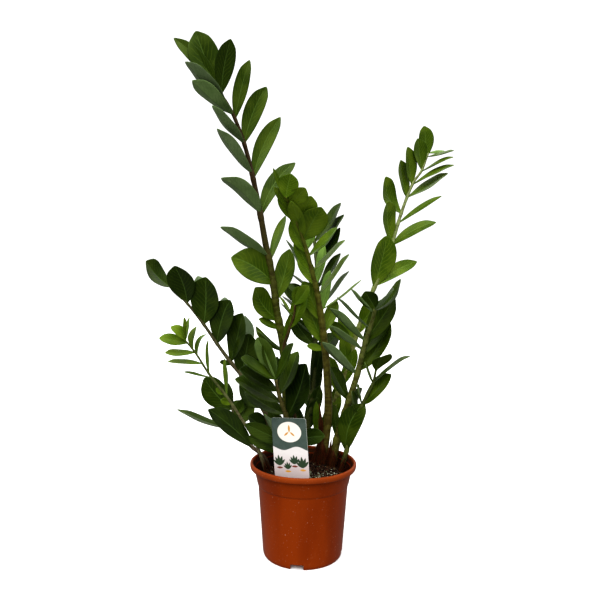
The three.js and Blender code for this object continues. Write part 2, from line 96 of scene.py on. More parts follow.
# ---- The fronds --------------------------------------------------------------------------------
# lean: how far the tip stands behind the points listed, or before them if negative.
# radius: the stem's radius at its foot, half way and at its tip.
# stem: the points that the stem follows, from its foot in the soil to its tip.
# leaflets, one row each: the place on the stem, counted in its points; the reach from root to tip
# (right, back, up); the breadth; the roll about the midrib in degrees; and, where there is one, the
# bend: how far the middle of the midrib stands to the right of the line from root to tip, seen from
# the front looking along it, per unit of length.
FRONDS = {
    "frond_tall_left": {
        "lean": -30, "radius": [7.5, 5.0, 2],
        "stem": [
            [-22, 28, 100], [-29, 28, 262], [-33, 26, 319], [-44, 24, 381], [-53, 20, 443],
            [-63, 16, 490], [-71, 12, 535], [-83, 6, 594], [-97, 0, 648], [-114, -4, 692],
            [-132, -8, 722],
        ],
        "leaflets": [
            [10, -39, -10, 93, 47, 12], [10, -73, -8, 83, 23, 15, 0.08],
            [10, 18, -30, 72, 30, 14, -0.03], [9.6, -54, -42, 47, 44, 131], [9, -56, -40, 39, 42, 138],
            [8.83, 23, -20, 84, 26, -25, -0.035], [8, 35, -10, 86, 30, -15, -0.06],
            [8, -43, -45, 46, 38, 130], [7, 42, 10, 101, 27, -12, -0.08], [7.15, -47, -45, 60, 39, 134],
            [6.1, -55, -45, 50, 45, 143, 0.09], [6, 54, 25, 94, 27, -30, -0.1],
            [4.6, -71, -40, 45, 43, 138, 0.02], [4.4, 24, 30, 80, 17, -40, -0.05],
            [3.75, -63, -38, 41, 53, 52, 0.1], [3.31, 22, 5, 85, 33, -25, 0.02],
            [2.8, -36, -30, 54, 38, 51, -0.08], [2.6, -33, -20, 17, 16, 75], [2, -41, -25, 37, 18, 112],
            [1.97, -45, -20, 42, 13, 0, -0.1], [0.3, -38, -10, 66, 18, 150],
        ],
    },
    "frond_middle_front": {
        "lean": -55, "radius": [8.4, 3.7, 1.0],
        "stem": [
            [28, 51, 100], [41, 48, 205], [39, 38, 276], [32, 26, 342], [22, 12, 405], [10, 0, 454],
            [-3, -14, 497], [-14, -26, 525], [-24, -36, 548], [-31, -43, 559],
        ],
        "leaflets": [
            [8.7, -18, -34, 39, 8, 35], [8.9, 8, -20, 32, 31, 0], [8, 23, -28, 21, 27, 0],
            [6.8, 20, -33, 38, 35, 10], [5.99, 26, -40, 46, 43, 5], [7.6, -26, -34, 30, 12, 30],
            [6.9, -28, -34, 31, 14, 30], [5.5, -26, -20, 48, 19, 20, -0.04],
            [4.9, -26, -20, 50, 19, 20, -0.06], [4.4, -27, 14, 49, 23, 25], [3.4, -31, -6, 65, 31, 25],
            [5.4, 43, -25, 43, 28, -82], [4.9, 49, -20, 49, 26, -94], [4.1, 47, -15, 67, 29, -94],
            [5.6, 14, 14, 58, 22, -150], [4.4, 14, 16, 66, 20, -150], [3.6, 14, 16, 70, 21, -150],
            [3.69, 70, 40, 51, 9, -105], [2.8, -36, -12, 78, 33, 20], [2.7, -30, -12, 6, 13, 60],
            [7.4, 10, -20, 26, 28, 20], [6.01, -19, -52, 51, 24, -15], [7.24, -16, -34, 46, 17, -15],
            [3.09, 22, 10, 55, 21, -20],
        ],
    },
    "frond_right_arch": {
        "lean": 45, "radius": [5.8, 3.6, 1.6],
        "stem": [
            [11, 60, 100], [38, 68, 176], [76, 84, 286], [96, 88, 355], [122, 92, 422], [149, 94, 489],
            [168, 94, 553], [186, 92, 602], [202, 90, 627], [212, 88, 656],
        ],
        "leaflets": [
            [8.8, -7, -10, 50, 28, 15], [8.8, 41, -20, 7, 20, -102], [8, -10, -15, 51, 31, 37],
            [7.9, 49, -24, 22, 22, -101, -0.05], [7, -11, -20, 61, 34, 47],
            [7, 65, -24, 32, 24, -94, -0.06], [6.5, -14, -15, 62, 41, 58], [6.5, 65, -20, 41, 34, -90],
            [6, -30, -25, 59, 39, 54, -0.1], [5.7, 70, -20, 47, 12, -65, -0.06],
            [5.2, -12, -30, 67, 43, 53, -0.03], [5.1, 74, -15, 42, 22, -60, -0.09],
            [4, 18, -25, 89, 48, 20, 0.03], [4.05, 77, 18, 45, 25, -50, -0.06],
            [3, 29, -22, 47, 32, -30], [2.6, -29, -10, 43, 28, 50], [9, 31, 10, 6, 8, 115],
            [2.75, 29, -12, 54, 26, -77], [1.57, -16, -14, 65, 24, 25], [0.81, 33, 6, 77, 17, 0],
            [1.63, 27, -4, 70, 21, -20], [2.47, -44, -26, 43, 24, 30], [2.02, -9, -10, 52, 21, 10],
            [0.65, -6, -4, 81, 15, 0], [0.83, 18, 4, 65, 18, 0], [1.02, 27, 24, 86, 16, 0],
        ],
    },
    "frond_left_arch": {
        "lean": 45, "radius": [5, 3.2, 1.8],
        "stem": [
            [-36, 50, 100], [-60, 54, 198], [-91, 54, 255], [-124, 52, 297], [-146, 48, 328],
            [-167, 42, 360], [-193, 34, 395], [-219, 26, 422],
        ],
        "leaflets": [
            [7, -31, -30, 41, 40, 77, -0.04], [6, -15, -28, 60, 46, -11, 0.03],
            [5, 6, -25, 78, 54, -20], [5, -14, 28, 80, 42, 163], [4, 24, -25, 73, 52, -41, -0.06],
            [4, 10, 28, 76, 42, 148], [3, 22, -28, 83, 46, -50], [3, 23, 28, 75, 42, 135, 0.08],
            [2.4, 14, -15, 72, 44, -10], [2.9, -19, -10, 4, 13, 85], [1.9, 20, 20, 66, 42, -40],
            [1.3, -38, -16, 42, 38, 65], [0.7, -38, -20, 38, 36, 70],
        ],
    },
    "frond_young_left": {
        "lean": -35, "radius": [2.8, 2, 1.1],
        "stem": [
            [-51, 8, 100], [-76, 0, 174], [-101, -8, 219], [-121, -16, 252], [-147, -24, 288],
            [-166, -30, 320], [-182, -34, 341],
        ],
        "leaflets": [
            [6, 1, -8, 36, 11, 73], [6, 3, 10, 35, 18, -65], [6, -20, -10, 22, 18, 66, 0.17],
            [5.8, -41, -10, 9, 20, 70, 0.02], [5.1, -43, -14, 1, 19, 94],
            [5.3, 3, 10, 35, 21, -56, -0.12], [4.5, -50, -14, 5, 19, 104, 0.04],
            [4.9, 11, 10, 33, 14, -65, -0.2], [3.85, -39, -20, 12, 15, 122, 0.03],
            [4, -4, 10, 52, 14, -55, -0.06], [3, -6, 10, 58, 15, -50], [3.1, -13, -5, 10, 11, 40],
            [2.6, -16, -12, 9, 12, 40],
        ],
    },
    "frond_low_front": {
        "lean": -15, "radius": [5, 3.4, 2],
        "stem": [
            [-10, -15, 100], [-18, -26, 187], [-26, -36, 224], [-34, -46, 249], [-39, -54, 269],
            [-42, -61, 287],
        ],
        "leaflets": [
            [5, -49, -25, 36, 36, 99], [5, 24, -20, 57, 30, -75], [4.8, -22, 25, 53, 34, 86],
            [4, -54, -25, 37, 42, 93], [3, -67, -20, 41, 44, 95], [3.6, 26, 10, 66, 34, -63],
            [2, 28, -35, 88, 50, -56], [1, 50, -18, 12, 26, -60], [0.6, -43, -12, 73, 32, 141],
            [2.2, -63, 6, 34, 38, 87], [0.82, -75, 0, 36, 25, 30], [5, -31, 30, 60, 27, 20],
            [0.66, -74, 12, 25, 23, 25], [0.73, -41, 22, 64, 23, 15], [3.4, -6, 22, 60, 15, 0],
        ],
    },
    "frond_right_front": {
        "lean": -50, "radius": [7, 4.8, 2.4],
        "stem": [
            [43, 42, 100], [58, 46, 172], [71, 42, 219], [87, 36, 274], [98, 28, 326], [110, 20, 369],
            [114, 16, 390],
        ],
        "leaflets": [
            [6, -18, -10, 27, 29, 0], [5.8, 37, -15, 53, 28, -83, 0.12], [5.9, 22, -40, 34, 36, -119],
            [5.6, -39, -14, 40, 16, 130], [4.7, -54, -14, 52, 18, 127], [4.2, -58, -14, 57, 30, 137],
            [3.9, -56, -20, 42, 28, 137], [3.1, -58, -16, 57, 30, 146], [4.2, 43, -20, 72, 44, -54],
            [3.2, 49, -18, 82, 35, -59, 0.02], [2.3, -31, -20, 59, 30, 61], [1.9, 28, 20, 40, 32, -97],
            [3.7, 43, 4, 82, 38, -55], [0.93, -5, 12, 57, 14, 10],
        ],
    },
    "frond_low_right": {
        "lean": -20, "radius": [4, 2.8, 1.6],
        "stem": [
            [57, 26, 100], [80, 26, 186], [94, 22, 228], [111, 16, 266], [116, 12, 290],
        ],
        "leaflets": [
            [4, 19, -30, 30, 27, 15, -0.14], [3.1, -14, -10, 36, 19, 87],
            [3.1, 55, -20, 49, 28, -113, -0.08], [2.1, 42, -24, 55, 34, -78, -0.04],
            [2.1, -9, -10, 36, 23, 89], [1.7, -12, -15, 40, 22, 69],
            [0.58, 27, -14, 84, 38, -30, -0.15], [0.6, 14, 30, 56, 22, 0],
        ],
    },
    "frond_middle_back": {
        "lean": 40, "radius": [5.4, 4, 2],
        "stem": [
            [-8, 60, 100], [13, 72, 229], [19, 82, 314], [23, 90, 383], [22, 96, 444], [18, 102, 497],
            [13, 106, 538],
        ],
        "leaflets": [
            [6, -16, 8, 46, 28, 60], [5.1, 43, -10, 70, 32, -72], [4.6, 46, -10, 74, 38, -86],
            [4.1, 39, -5, 78, 34, -75], [3.6, 38, -5, 63, 30, -81], [3, 52, -10, 70, 30, -100],
            [3.5, -53, 20, 94, 24, 119], [3.5, -48, 25, 34, 24, 118], [3, -57, 25, 45, 42, 69],
            [2.6, -60, 28, 51, 30, 115], [2.3, -62, 28, 60, 28, 118], [1.1, 3, -15, 86, 36, 70],
            [1.8, 40, 14, 44, 38, -70], [0.51, 25, 4, 85, 25, 0], [2.09, -41, 12, 51, 27, 15, -0.05],
            [0.85, -12, 16, 73, 24, 0], [1, 17, 6, 92, 21, 15], [0.63, 21, 10, 26, 28, 20],
            [0.54, -29, 6, 52, 23, 10], [0.73, 17, -2, 36, 18, 10], [0.75, 22, 20, 85, 16, 0],
        ],
    },
    "frond_low_left": {
        "lean": 10, "radius": [3.4, 2.6, 1.8],
        "stem": [
            [-52, 26, 100], [-61, 26, 138], [-82, 26, 158], [-99, 30, 171], [-110, 36, 193],
            [-118, 42, 217], [-125, 46, 236],
        ],
        "leaflets": [
            [2, -73, -10, 66, 40, 76, 0.06], [3.7, -103, 5, 35, 20, 101, -0.01],
            [5.01, -46, -10, 55, 41, 35, -0.08], [5, -13, 6, 48, 26, 78], [4.6, 10, 8, 25, 28, -47],
            [4, 19, 10, 43, 34, -20],
        ],
    },
    "frond_slender": {
        "lean": 0, "radius": [3.2, 2.4, 1.4],
        "stem": [
            [8, 18, 100], [-19, 10, 241], [-32, 4, 320], [-25, -2, 353], [-17, -6, 377], [-15, -8, 396],
        ],
        "leaflets": [
            [3.2, 24, -15, 57, 34, -55], [3, 5, -5, 31, 13, 30], [5, 20, -20, 30, 22, -35],
            [5, 5, -5, 29, 16, 10], [4, -22, 8, 32, 16, 99], [2.14, 9, -10, 51, 11, -10],
        ],
    },
}

# How each frond is coloured: its slot's name, how fresh its leaflets are half way up (0 old
# and dark, 1 young and bright), how much fresher they are at its tip than at its foot, and its
# stem's colour at the foot and towards the tip.
FOLIAGE = {
    "frond_tall_left": ("frond_dark", 0.36, -0.2, (0.055, 0.07, 0.006), (0.036, 0.019, 0.01)),
    "frond_middle_front": ("frond_fresh", 0.75, 0.4, (0.09, 0.078, 0.014), (0.08, 0.092, 0.01)),
    "frond_right_arch": ("frond_fresh", 0.62, -0.1, (0.13, 0.15, 0.035), (0.17, 0.21, 0.08)),
    "frond_left_arch": ("frond_dark", 0.06, 0.1, (0.07, 0.06, 0.03), (0.05, 0.05, 0.022)),
    "frond_young_left": ("frond_fresh", 0.75, 0.2, (0.17, 0.16, 0.08), (0.07, 0.09, 0.025)),
    "frond_low_front": ("frond_dark", 0.08, 0.12, (0.08, 0.08, 0.022), (0.088, 0.076, 0.024)),
    "frond_right_front": ("frond_dark", 0.2, 0.1, (0.095, 0.095, 0.016), (0.095, 0.11, 0.028)),
    "frond_low_right": ("frond_dark", 0.3, 0.1, (0.08, 0.1, 0.02), (0.06, 0.08, 0.02)),
    "frond_middle_back": ("frond_dark", 0.06, 0.05, (0.03, 0.04, 0.008), (0.03, 0.05, 0.01)),
    "frond_low_left": ("frond_dark", 0.1, 0.3, (0.09, 0.06, 0.04), (0.06, 0.06, 0.025)),
    "frond_slender": ("frond_fresh", 0.5, 0.1, (0.035, 0.018, 0.007), (0.045, 0.03, 0.009)),
}


# ---- Small tools for arrays --------------------------------------------------------------------
def unit(vectors):
    """Each vector over its own length."""
    return vectors / np.linalg.norm(vectors, axis=-1, keepdims=True)


def smooth(values):
    """The soft step 3v^2 - 2v^3 of values held between 0 and 1."""
    held = np.clip(values, 0, 1)
    return held * held * (3 - 2 * held)


def turns_about(axis, angle):
    """A rotation matrix about one axis of the frame for each angle."""
    first, second = (axis + 1) % 3, (axis + 2) % 3
    turns = np.tile(np.eye(3), (len(angle), 1, 1))
    turns[:, first, first] = turns[:, second, second] = np.cos(angle)
    turns[:, second, first] = np.sin(angle)
    turns[:, first, second] = -turns[:, second, first]
    return turns


def loop_faces(rows, columns):
    """Quads between neighbouring closed loops of points, which are numbered loop by loop.

    Loops that run anticlockwise, seen from the last one's side, give faces that point outwards.
    """
    row = np.arange(rows - 1)[:, None] * columns
    column = np.arange(columns)[None, :]
    right = (column + 1) % columns
    quads = np.stack([row + column, row + right, row + right + columns, row + column + columns], -1)
    return quads.reshape(-1, 4)


def tube_faces(count, rings, loop):
    """Faces of closed tubes, all alike, as a list: their sides, their first ends, their last ends."""
    start = np.arange(count)[:, None] * rings * loop
    sides = (loop_faces(rings, loop)[None] + start[..., None]).reshape(-1, 4)
    end = np.arange(loop)[None]
    return sides.tolist() + (end[:, ::-1] + start).tolist() + (end + (rings - 1) * loop + start).tolist()


def add_object(name, data):
    """A new object with its data, in the scene."""
    made = bpy.data.objects.new(name, data)
    bpy.context.scene.collection.objects.link(made)
    return made


def mesh_object(name, points, faces, materials, uv=None, values=None, kinds=None):
    """A mesh in metres from points in millimetres and a list of faces.

    uv gives two numbers for each point, values one number or three for each point under each name,
    and kinds the material's number for each face.
    """
    mesh = bpy.data.meshes.new(name)
    mesh.from_pydata((np.asarray(points) * MM).tolist(), [], faces)
    for material in materials:
        mesh.materials.append(material)
    if kinds is not None:
        mesh.polygons.foreach_set("material_index", np.asarray(kinds, np.int32))
    if uv is not None:
        corner = np.zeros(len(mesh.loops), np.int32)
        mesh.loops.foreach_get("vertex_index", corner)
        layer = mesh.uv_layers.new(name="UVMap")
        layer.uv.foreach_set("vector", np.asarray(uv, np.float32)[corner].ravel())
    for title, numbers in (values or {}).items():
        numbers = np.asarray(numbers, np.float32)
        if numbers.ndim == 1:
            mesh.attributes.new(title, "FLOAT", "POINT").data.foreach_set("value", numbers)
        else:
            colour = np.column_stack([numbers, np.ones(len(numbers), np.float32)])
            layer = mesh.attributes.new(title, "FLOAT_COLOR", "POINT")
            layer.data.foreach_set("color", colour.astype(np.float32).ravel())
    mesh.polygons.foreach_set("use_smooth", np.ones(len(mesh.polygons), bool))
    mesh.validate()
    mesh.update()
    return add_object(name, mesh)


def fit(piece, node):
    """The piece moves with the body and stands for the node, whose own part is hidden."""
    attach(piece, BODY)
    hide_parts(node)


# ---- Stems -------------------------------------------------------------------------------------
def lean_at(frond, part):
    """How far the frond has left its listed points, part way from foot to tip."""
    return frond["lean"] * part**LEAN_GROWTH


def stem_points(frond):
    """The points listed, each moved along its line of sight by the frond's lean there."""
    points = np.array(frond["stem"], float)
    part = np.linspace(0, 1, len(points))
    sight = points - VIEWPOINT
    return points + sight * (lean_at(frond, part) / sight[:, 1])[:, None]


def stem_course(points, places):
    """Where the stem runs at places counted in its points, and its direction there.

    The course is a Catmull-Rom curve: between two points it is the cubic whose slope at each point
    is half the step from the point before to the point after.
    """
    padded = np.vstack([2 * points[0] - points[1], points, 2 * points[-1] - points[-2]])
    span = np.clip(np.floor(places).astype(int), 0, len(points) - 2)
    way = (places - span)[:, None]
    before, start, end, after = (padded[span + k] for k in range(4))
    slope_start = (end - before) / 2
    slope_end = (after - start) / 2
    square = 3 * (end - start) - 2 * slope_start - slope_end
    cube = 2 * (start - end) + slope_start + slope_end
    course = start + way * slope_start + way**2 * square + way**3 * cube
    return course, unit(slope_start + 2 * way * square + 3 * way**2 * cube)


STEM_SIDES = 18
STEM_STEP = 3.0
FINE_STEPS = 400
KNOT_LENGTH = 4.5
KNOT_SWELL = 0.17
FOOT_SWELL = 0.12
FOOT_LENGTH = 30
# How a stem wavers round its ring: by how much, in how many lobes, and over how many millimetres of
# the stem the lobes turn by a radian, or backwards if negative.
WAVERS = [(0.03, 2, 45), (0.02, 3, -23)]
TINT_START = 0.15
TINT_SPAN = 0.6
UV_PER_MM = 0.01


def stem_piece(name, frond, materials, rng):
    """A round stem: rings square to the course, joined into a tube with closed ends.

    The radius runs evenly from foot to middle to tip. It swells at each leaflet's root by a bell
    curve along the stem and near the soil, and wavers a little round the ring.
    """
    points = stem_points(frond)
    last = len(points) - 1
    fine = np.linspace(0, last, FINE_STEPS)
    course, _ = stem_course(points, fine)
    arc = np.concatenate([[0], np.cumsum(np.linalg.norm(np.diff(course, axis=0), axis=1))])
    rings = int(arc[-1] / STEM_STEP)
    run = np.linspace(0, arc[-1], rings)
    places = np.interp(run, arc, fine)
    centre, along = stem_course(points, places)
    side = unit(np.cross([0, 1, 0], along))
    front = np.cross(along, side)

    foot, middle, tip = frond["radius"]
    radius = np.interp(places / last, [0, 0.5, 1], [foot, middle, tip])
    roots = np.interp([row[0] for row in frond["leaflets"]], fine, arc)
    bells = np.exp(-(((run[:, None] - roots[None, :]) / KNOT_LENGTH) ** 2))
    knots = bells.max(1)
    radius = radius * (1 + KNOT_SWELL * knots)
    above_soil = np.clip(centre[:, 2] - SOIL_EDGE, 0, None)
    radius = radius * (1 + FOOT_SWELL * np.exp(-((above_soil / FOOT_LENGTH) ** 2)))

    angle = np.linspace(0, 2 * np.pi, STEM_SIDES, endpoint=False)[None, :]
    waver = 1
    for (depth, lobes, pitch), start in zip(WAVERS, rng.uniform(0, 2 * np.pi, 3)):
        waver = waver + depth * np.sin(lobes * angle + start + run[:, None] / pitch)
    out = side[:, None] * np.cos(angle)[..., None] + front[:, None] * np.sin(angle)[..., None]
    surface = centre[:, None] + out * (radius[:, None] * waver)[..., None]

    foot_colour, tip_colour = FOLIAGE[name][3:]
    part = smooth((places / last - TINT_START) / TINT_SPAN)[:, None]
    colour = np.array(foot_colour) * (1 - part) + np.array(tip_colour) * part
    uv = np.stack(np.broadcast_arrays(angle / (2 * np.pi), run[:, None] * UV_PER_MM), -1)
    return mesh_object(
        f"{name}_stem", surface.reshape(-1, 3), tube_faces(1, rings, STEM_SIDES), materials,
        uv.reshape(-1, 2), {"tint": np.repeat(colour, STEM_SIDES, 0), "knot": np.repeat(knots, STEM_SIDES)},
    )


# The dry sheaths round each stem's foot, as a row each: the heading in degrees, anticlockwise from
# the right; the height; how far the top stands off the stem.
SHEATHS = {
    "frond_tall_left": [[290, 44, 2], [215, 56, 3], [130, 62, 2.5]],
    "frond_middle_front": [[205, 112, 6], [175, 84, 5], [250, 50, 2.5], [320, 38, 2], [80, 36, 2]],
    "frond_right_arch": [[235, 52, 3], [290, 34, 2], [40, 40, 2]],
    "frond_left_arch": [[275, 40, 2], [90, 30, 2]],
    "frond_young_left": [[285, 28, 1.5], [120, 20, 1.5]],
    "frond_low_front": [[300, 34, 2], [160, 28, 2]],
    "frond_right_front": [[210, 52, 3], [265, 36, 2], [340, 32, 2]],
    "frond_low_right": [[250, 28, 1.5], [40, 20, 1.5]],
    "frond_middle_back": [[250, 56, 3], [60, 36, 2]],
    "frond_low_left": [[260, 22, 1.5]],
    "frond_slender": [[280, 34, 2], [70, 24, 1.5]],
}
SHEATH_FOOT = SOIL_EDGE - 3
SHEATH_THICK = 0.35
SHEATH_GAP = 0.3
SHEATH_SPREAD = math.radians(62)
SHEATH_TIP = 0.04
SHEATH_TEAR = 0.22
SHEATH_CURL = 0.25
SHEATH_WAVE = 0.35
SHEATHED_PLACES = np.linspace(0, 3, 120)
SHEATH_ROWS = 16
SHEATH_COLUMNS = 11


def sheaths_piece(name, frond, materials, rng):
    """Dry papery sheaths that clasp the stem's foot, each a thin shell that narrows to a point.

    At v of its height and u across it, from -1 to 1, a sheath stands off the stem by v squared of
    its stand-off, in the heading plus u times its spread times (1 - v^1.5), with a torn and wavy edge.
    """
    course, _ = stem_course(stem_points(frond), SHEATHED_PLACES)
    row = np.array(SHEATHS[name], float)
    heading = np.radians(row[:, 0])[:, None, None]
    height, stand_off = row[:, 1][:, None, None], row[:, 2][:, None, None]
    v = np.linspace(0, 1, SHEATH_ROWS)[None, :, None]
    across = np.linspace(-1, 1, SHEATH_COLUMNS)
    u = np.concatenate([across, across[::-1]])[None, None, :]
    depth = np.repeat([SHEATH_THICK, 0], SHEATH_COLUMNS)[None, None, :]
    phase = rng.uniform(0, 2 * np.pi, (len(row), 1, 1))
    z = SHEATH_FOOT + height * v + 0 * u
    torn = 1 + SHEATH_TEAR * np.sin(13 * v + phase) * np.sin(7 * v)
    spread = SHEATH_SPREAD * (1 - v**1.5) * torn + SHEATH_TIP
    turn = heading + u * spread + SHEATH_CURL * v * np.sin(3 * v + phase)
    wave = SHEATH_WAVE * np.sin(4 * u + phase + 5 * v) * (0.3 + v)
    radius = frond["radius"][0] * (1 + FOOT_SWELL) + SHEATH_GAP + stand_off * v**2 + wave + depth
    x = np.interp(z, course[:, 2], course[:, 0]) + radius * np.cos(turn)
    y = np.interp(z, course[:, 2], course[:, 1]) + radius * np.sin(turn)
    faces = tube_faces(len(row), SHEATH_ROWS, 2 * SHEATH_COLUMNS)
    uv = np.stack(np.broadcast_arrays(u / 2 + 0.5, v + 0 * heading), -1).reshape(-1, 2)
    surface = np.stack([x, y, z], -1).reshape(-1, 3)
    return mesh_object(f"{name}_sheaths", surface, faces, materials, uv)


# ---- Leaflets ----------------------------------------------------------------------------------
# The way that a blade's upper face looks at no roll, as far as its midrib lets it.
FACING = unit(np.array([0, -0.87, -0.5]))
# Where the sections stand along the midrib, closer at both ends.
STATIONS = np.array([
    0, 0.02, 0.045, 0.08, 0.13, 0.19, 0.26, 0.34, 0.42, 0.5, 0.58, 0.66, 0.73, 0.8, 0.86, 0.91, 0.95,
    0.98, 1,
])
# A section runs over the upper face from the left edge to the right, and back below.
HALF_SECTION = np.array([0.055, 0.2, 0.42, 0.66, 0.86, 0.96])
UPPER = np.concatenate([-HALF_SECTION[::-1], [0], HALF_SECTION])
SECTION_SIDE = np.concatenate([[-1], UPPER, [1], UPPER[::-1]])
SECTION_FACE = np.concatenate([[0], np.ones(len(UPPER)), [0], -np.ones(len(UPPER))])
BLADE_THICK = 1.1
STALK_RADIUS = 1.5
STALK_PART = 0.09
RIB_DEPTH = 0.55
GROOVE_DEPTH = 0.3
RIB_WIDTH = 1.1
EDGE_WAVE = 0.05
EDGE_WAVES = 1.3
EDGE_HALF = 0.12
FOLD_ROUND = 0.6
FOLD_DROP = 0.77
EDGE_THINNING = 0.55
RIB_START = 0.1
RIB_FADE = 0.8
TIP_DROOP = 0.035
DROOP_START = 0.7
SIDE_BOW = 0.02
TWIST = math.radians(9)
TWIST_CENTRE = 0.4
FRESH_SPREAD = 0.1


def outline(t):
    """Half of the breadth along the midrib: t^a (1 - t)^b over its top, drawn in at the tip."""
    widest = BASE_TAPER / (BASE_TAPER + TIP_TAPER)
    top = widest**BASE_TAPER * (1 - widest) ** TIP_TAPER
    drawn_in = 1 - DRIP * smooth((t - DRIP_START) / (1 - DRIP_START))
    return t**BASE_TAPER * (1 - t) ** TIP_TAPER / top * drawn_in


def leaflets_piece(name, frond, materials, rng):
    """All leaflets of a frond: one closed section carried along each midrib.

    A point at t along the midrib and s across it lies at root + reach t + across s h(t), where h is
    half of the breadth, raised along the blade's own normal by the fold |s| h, rounded over the
    midrib, lowered by the sag 4 t (1 - t) and by a droop near the tip, and waved towards its edges.
    The midrib is bowed sideways by the bend 4 t (1 - t). The upper face has a groove over the
    midrib, the lower face a rib, and both thin out to the edge. The blade turns a little from root
    to tip, and narrows to a round stalk at its root.
    """
    rows = np.array([row + [0] * (7 - len(row)) for row in frond["leaflets"]], float)
    points = stem_points(frond)
    part = rows[:, 0] / (len(points) - 1)
    root, _ = stem_course(points, rows[:, 0])
    distance = root[:, 1] - VIEWPOINT[1]
    scale = distance / (distance - lean_at(frond, part))
    reach = rows[:, 1:4] * scale[:, None]
    breadth = (rows[:, 4] * scale)[:, None, None]
    roll = np.radians(rows[:, 5])[:, None, None]
    length = np.linalg.norm(reach, axis=1)[:, None, None]
    along = unit(reach)
    normal = unit(FACING - along * (along @ FACING)[:, None])
    crossing = np.cross(along, normal)

    count = len(rows)
    t = STATIONS[None, :, None]
    s = SECTION_SIDE[None, None, :]
    upper = SECTION_FACE[None, None, :]
    draw = rng.uniform(-1, 1, (count, 4))[:, None, None, :]
    turn = roll + TWIST * draw[..., 0] * (t - TWIST_CENTRE)
    cos, sin = np.cos(turn)[..., None], np.sin(turn)[..., None]
    face = normal[:, None, None] * cos + crossing[:, None, None] * sin
    across = crossing[:, None, None] * cos - normal[:, None, None] * sin

    blade = breadth / 2 * outline(t)
    stalk = STALK_RADIUS * (1 - smooth(t / STALK_PART))
    half = np.hypot(blade, stalk) + EDGE_HALF
    span = np.abs(s) * half
    arch = length * 4 * t * (1 - t)
    lift = FOLD * (np.sqrt(span**2 + FOLD_ROUND) - FOLD_DROP) - SAG * arch
    lift = lift + EDGE_WAVE * blade * s**2 * np.sin(2 * np.pi * (EDGE_WAVES * t + draw[..., 1]) + s)
    droop = smooth((t - DROOP_START) / (1 - DROOP_START)) ** 2 * (0.6 + 0.4 * draw[..., 2])
    lift = lift - TIP_DROOP * length * droop
    body = np.minimum(BLADE_THICK * (1 - EDGE_THINNING * s**4), 0.9 * half)
    thick = body + (2 * stalk - body) * (1 - smooth(t / STALK_PART)) * np.sqrt(1 - s**2 * 0.99)
    rib = np.exp(-((s * half / RIB_WIDTH) ** 2)) * smooth(t / RIB_START) * (1 - RIB_FADE * t)
    rise = np.where(upper > 0, thick / 2 - GROOVE_DEPTH * rib, -thick / 2 - RIB_DEPTH * rib)
    rise = np.where(upper == 0, 0, rise)
    bow = SIDE_BOW * draw[..., 3] * arch
    bend = rows[:, 6][:, None, None] * arch
    surface = (
        root[:, None, None]
        + reach[:, None, None] * t[..., None]
        + across * (s * half + bow)[..., None]
        + face * (lift + rise)[..., None]
        + crossing[:, None, None] * bend[..., None]
    )

    rings, section = len(STATIONS), len(SECTION_SIDE)
    below = np.arange(section) >= len(UPPER) + 1
    kinds = np.concatenate([np.tile(below, (rings - 1) * count), np.zeros(2 * count, bool)])
    uv = np.stack(np.broadcast_arrays(t + 0 * length, s / 2 + 0.5), -1).reshape(-1, 2)
    middle, gain = FOLIAGE[name][1:3]
    fresh = middle + FRESH_SPREAD * rng.uniform(-1, 1, count) + gain * (part - 0.5)
    faces = tube_faces(count, rings, section)
    return mesh_object(
        f"{name}_leaflets", surface.reshape(-1, 3), faces, materials, uv,
        {"fresh": np.repeat(np.clip(fresh, 0, 1), rings * section)}, kinds,
    )


# ---- Pot ---------------------------------------------------------------------------------------
POT_COLUMNS = 160
ROUND_STEPS = 5
SHARP_ANGLE = math.radians(40)
DRAIN_SIDES = 24
DRAIN_ROD = (-5, 20)


def rounded(corners):
    """A profile whose corners (radius, height, cut) are each rounded by a parabola.

    The parabola starts and ends the cut length away from the corner, along its two sides.
    """
    corners = np.array(corners, float)
    profile = [corners[0, :2]]
    for before, corner, after in zip(corners[:-2], corners[1:-1], corners[2:]):
        if corner[2] == 0:
            profile.append(corner[:2])
            continue
        enter = corner[:2] + unit(before[:2] - corner[:2]) * corner[2]
        leave = corner[:2] + unit(after[:2] - corner[:2]) * corner[2]
        for step in np.linspace(0, 1, ROUND_STEPS):
            curve = (1 - step) ** 2 * enter + 2 * step * (1 - step) * corner[:2] + step**2 * leave
            profile.append(curve)
    profile.append(corners[-1, :2])
    return np.array(profile)


def turned(profile, columns):
    """Points and faces of a profile turned about the vertical axis, where it starts and ends."""
    angle = np.linspace(0, 2 * np.pi, columns, endpoint=False)[None, :]
    radius, height = profile[1:-1, 0][:, None], profile[1:-1, 1][:, None]
    ring = np.stack(np.broadcast_arrays(radius * np.cos(angle), radius * np.sin(angle), height), -1)
    points = np.vstack([ring.reshape(-1, 3), [0, 0, profile[0, 1]], [0, 0, profile[-1, 1]]])
    rows = len(profile) - 2
    faces = loop_faces(rows, columns).tolist()
    first, last = rows * columns, rows * columns + 1
    step = np.arange(columns)
    after = (step + 1) % columns
    top = (rows - 1) * columns
    faces += np.stack([np.full(columns, first), after, step], 1).tolist()
    faces += np.stack([np.full(columns, last), step + top, after + top], 1).tolist()
    return points, faces


def inside_at(height):
    """The radius of the tapered body's inside at a height."""
    slope = (STEP_RADIUS - BODY_RADIUS) / (STEP_HEIGHT - BODY_HEIGHT)
    return BODY_RADIUS + slope * (height - BODY_HEIGHT) - POT_WALL


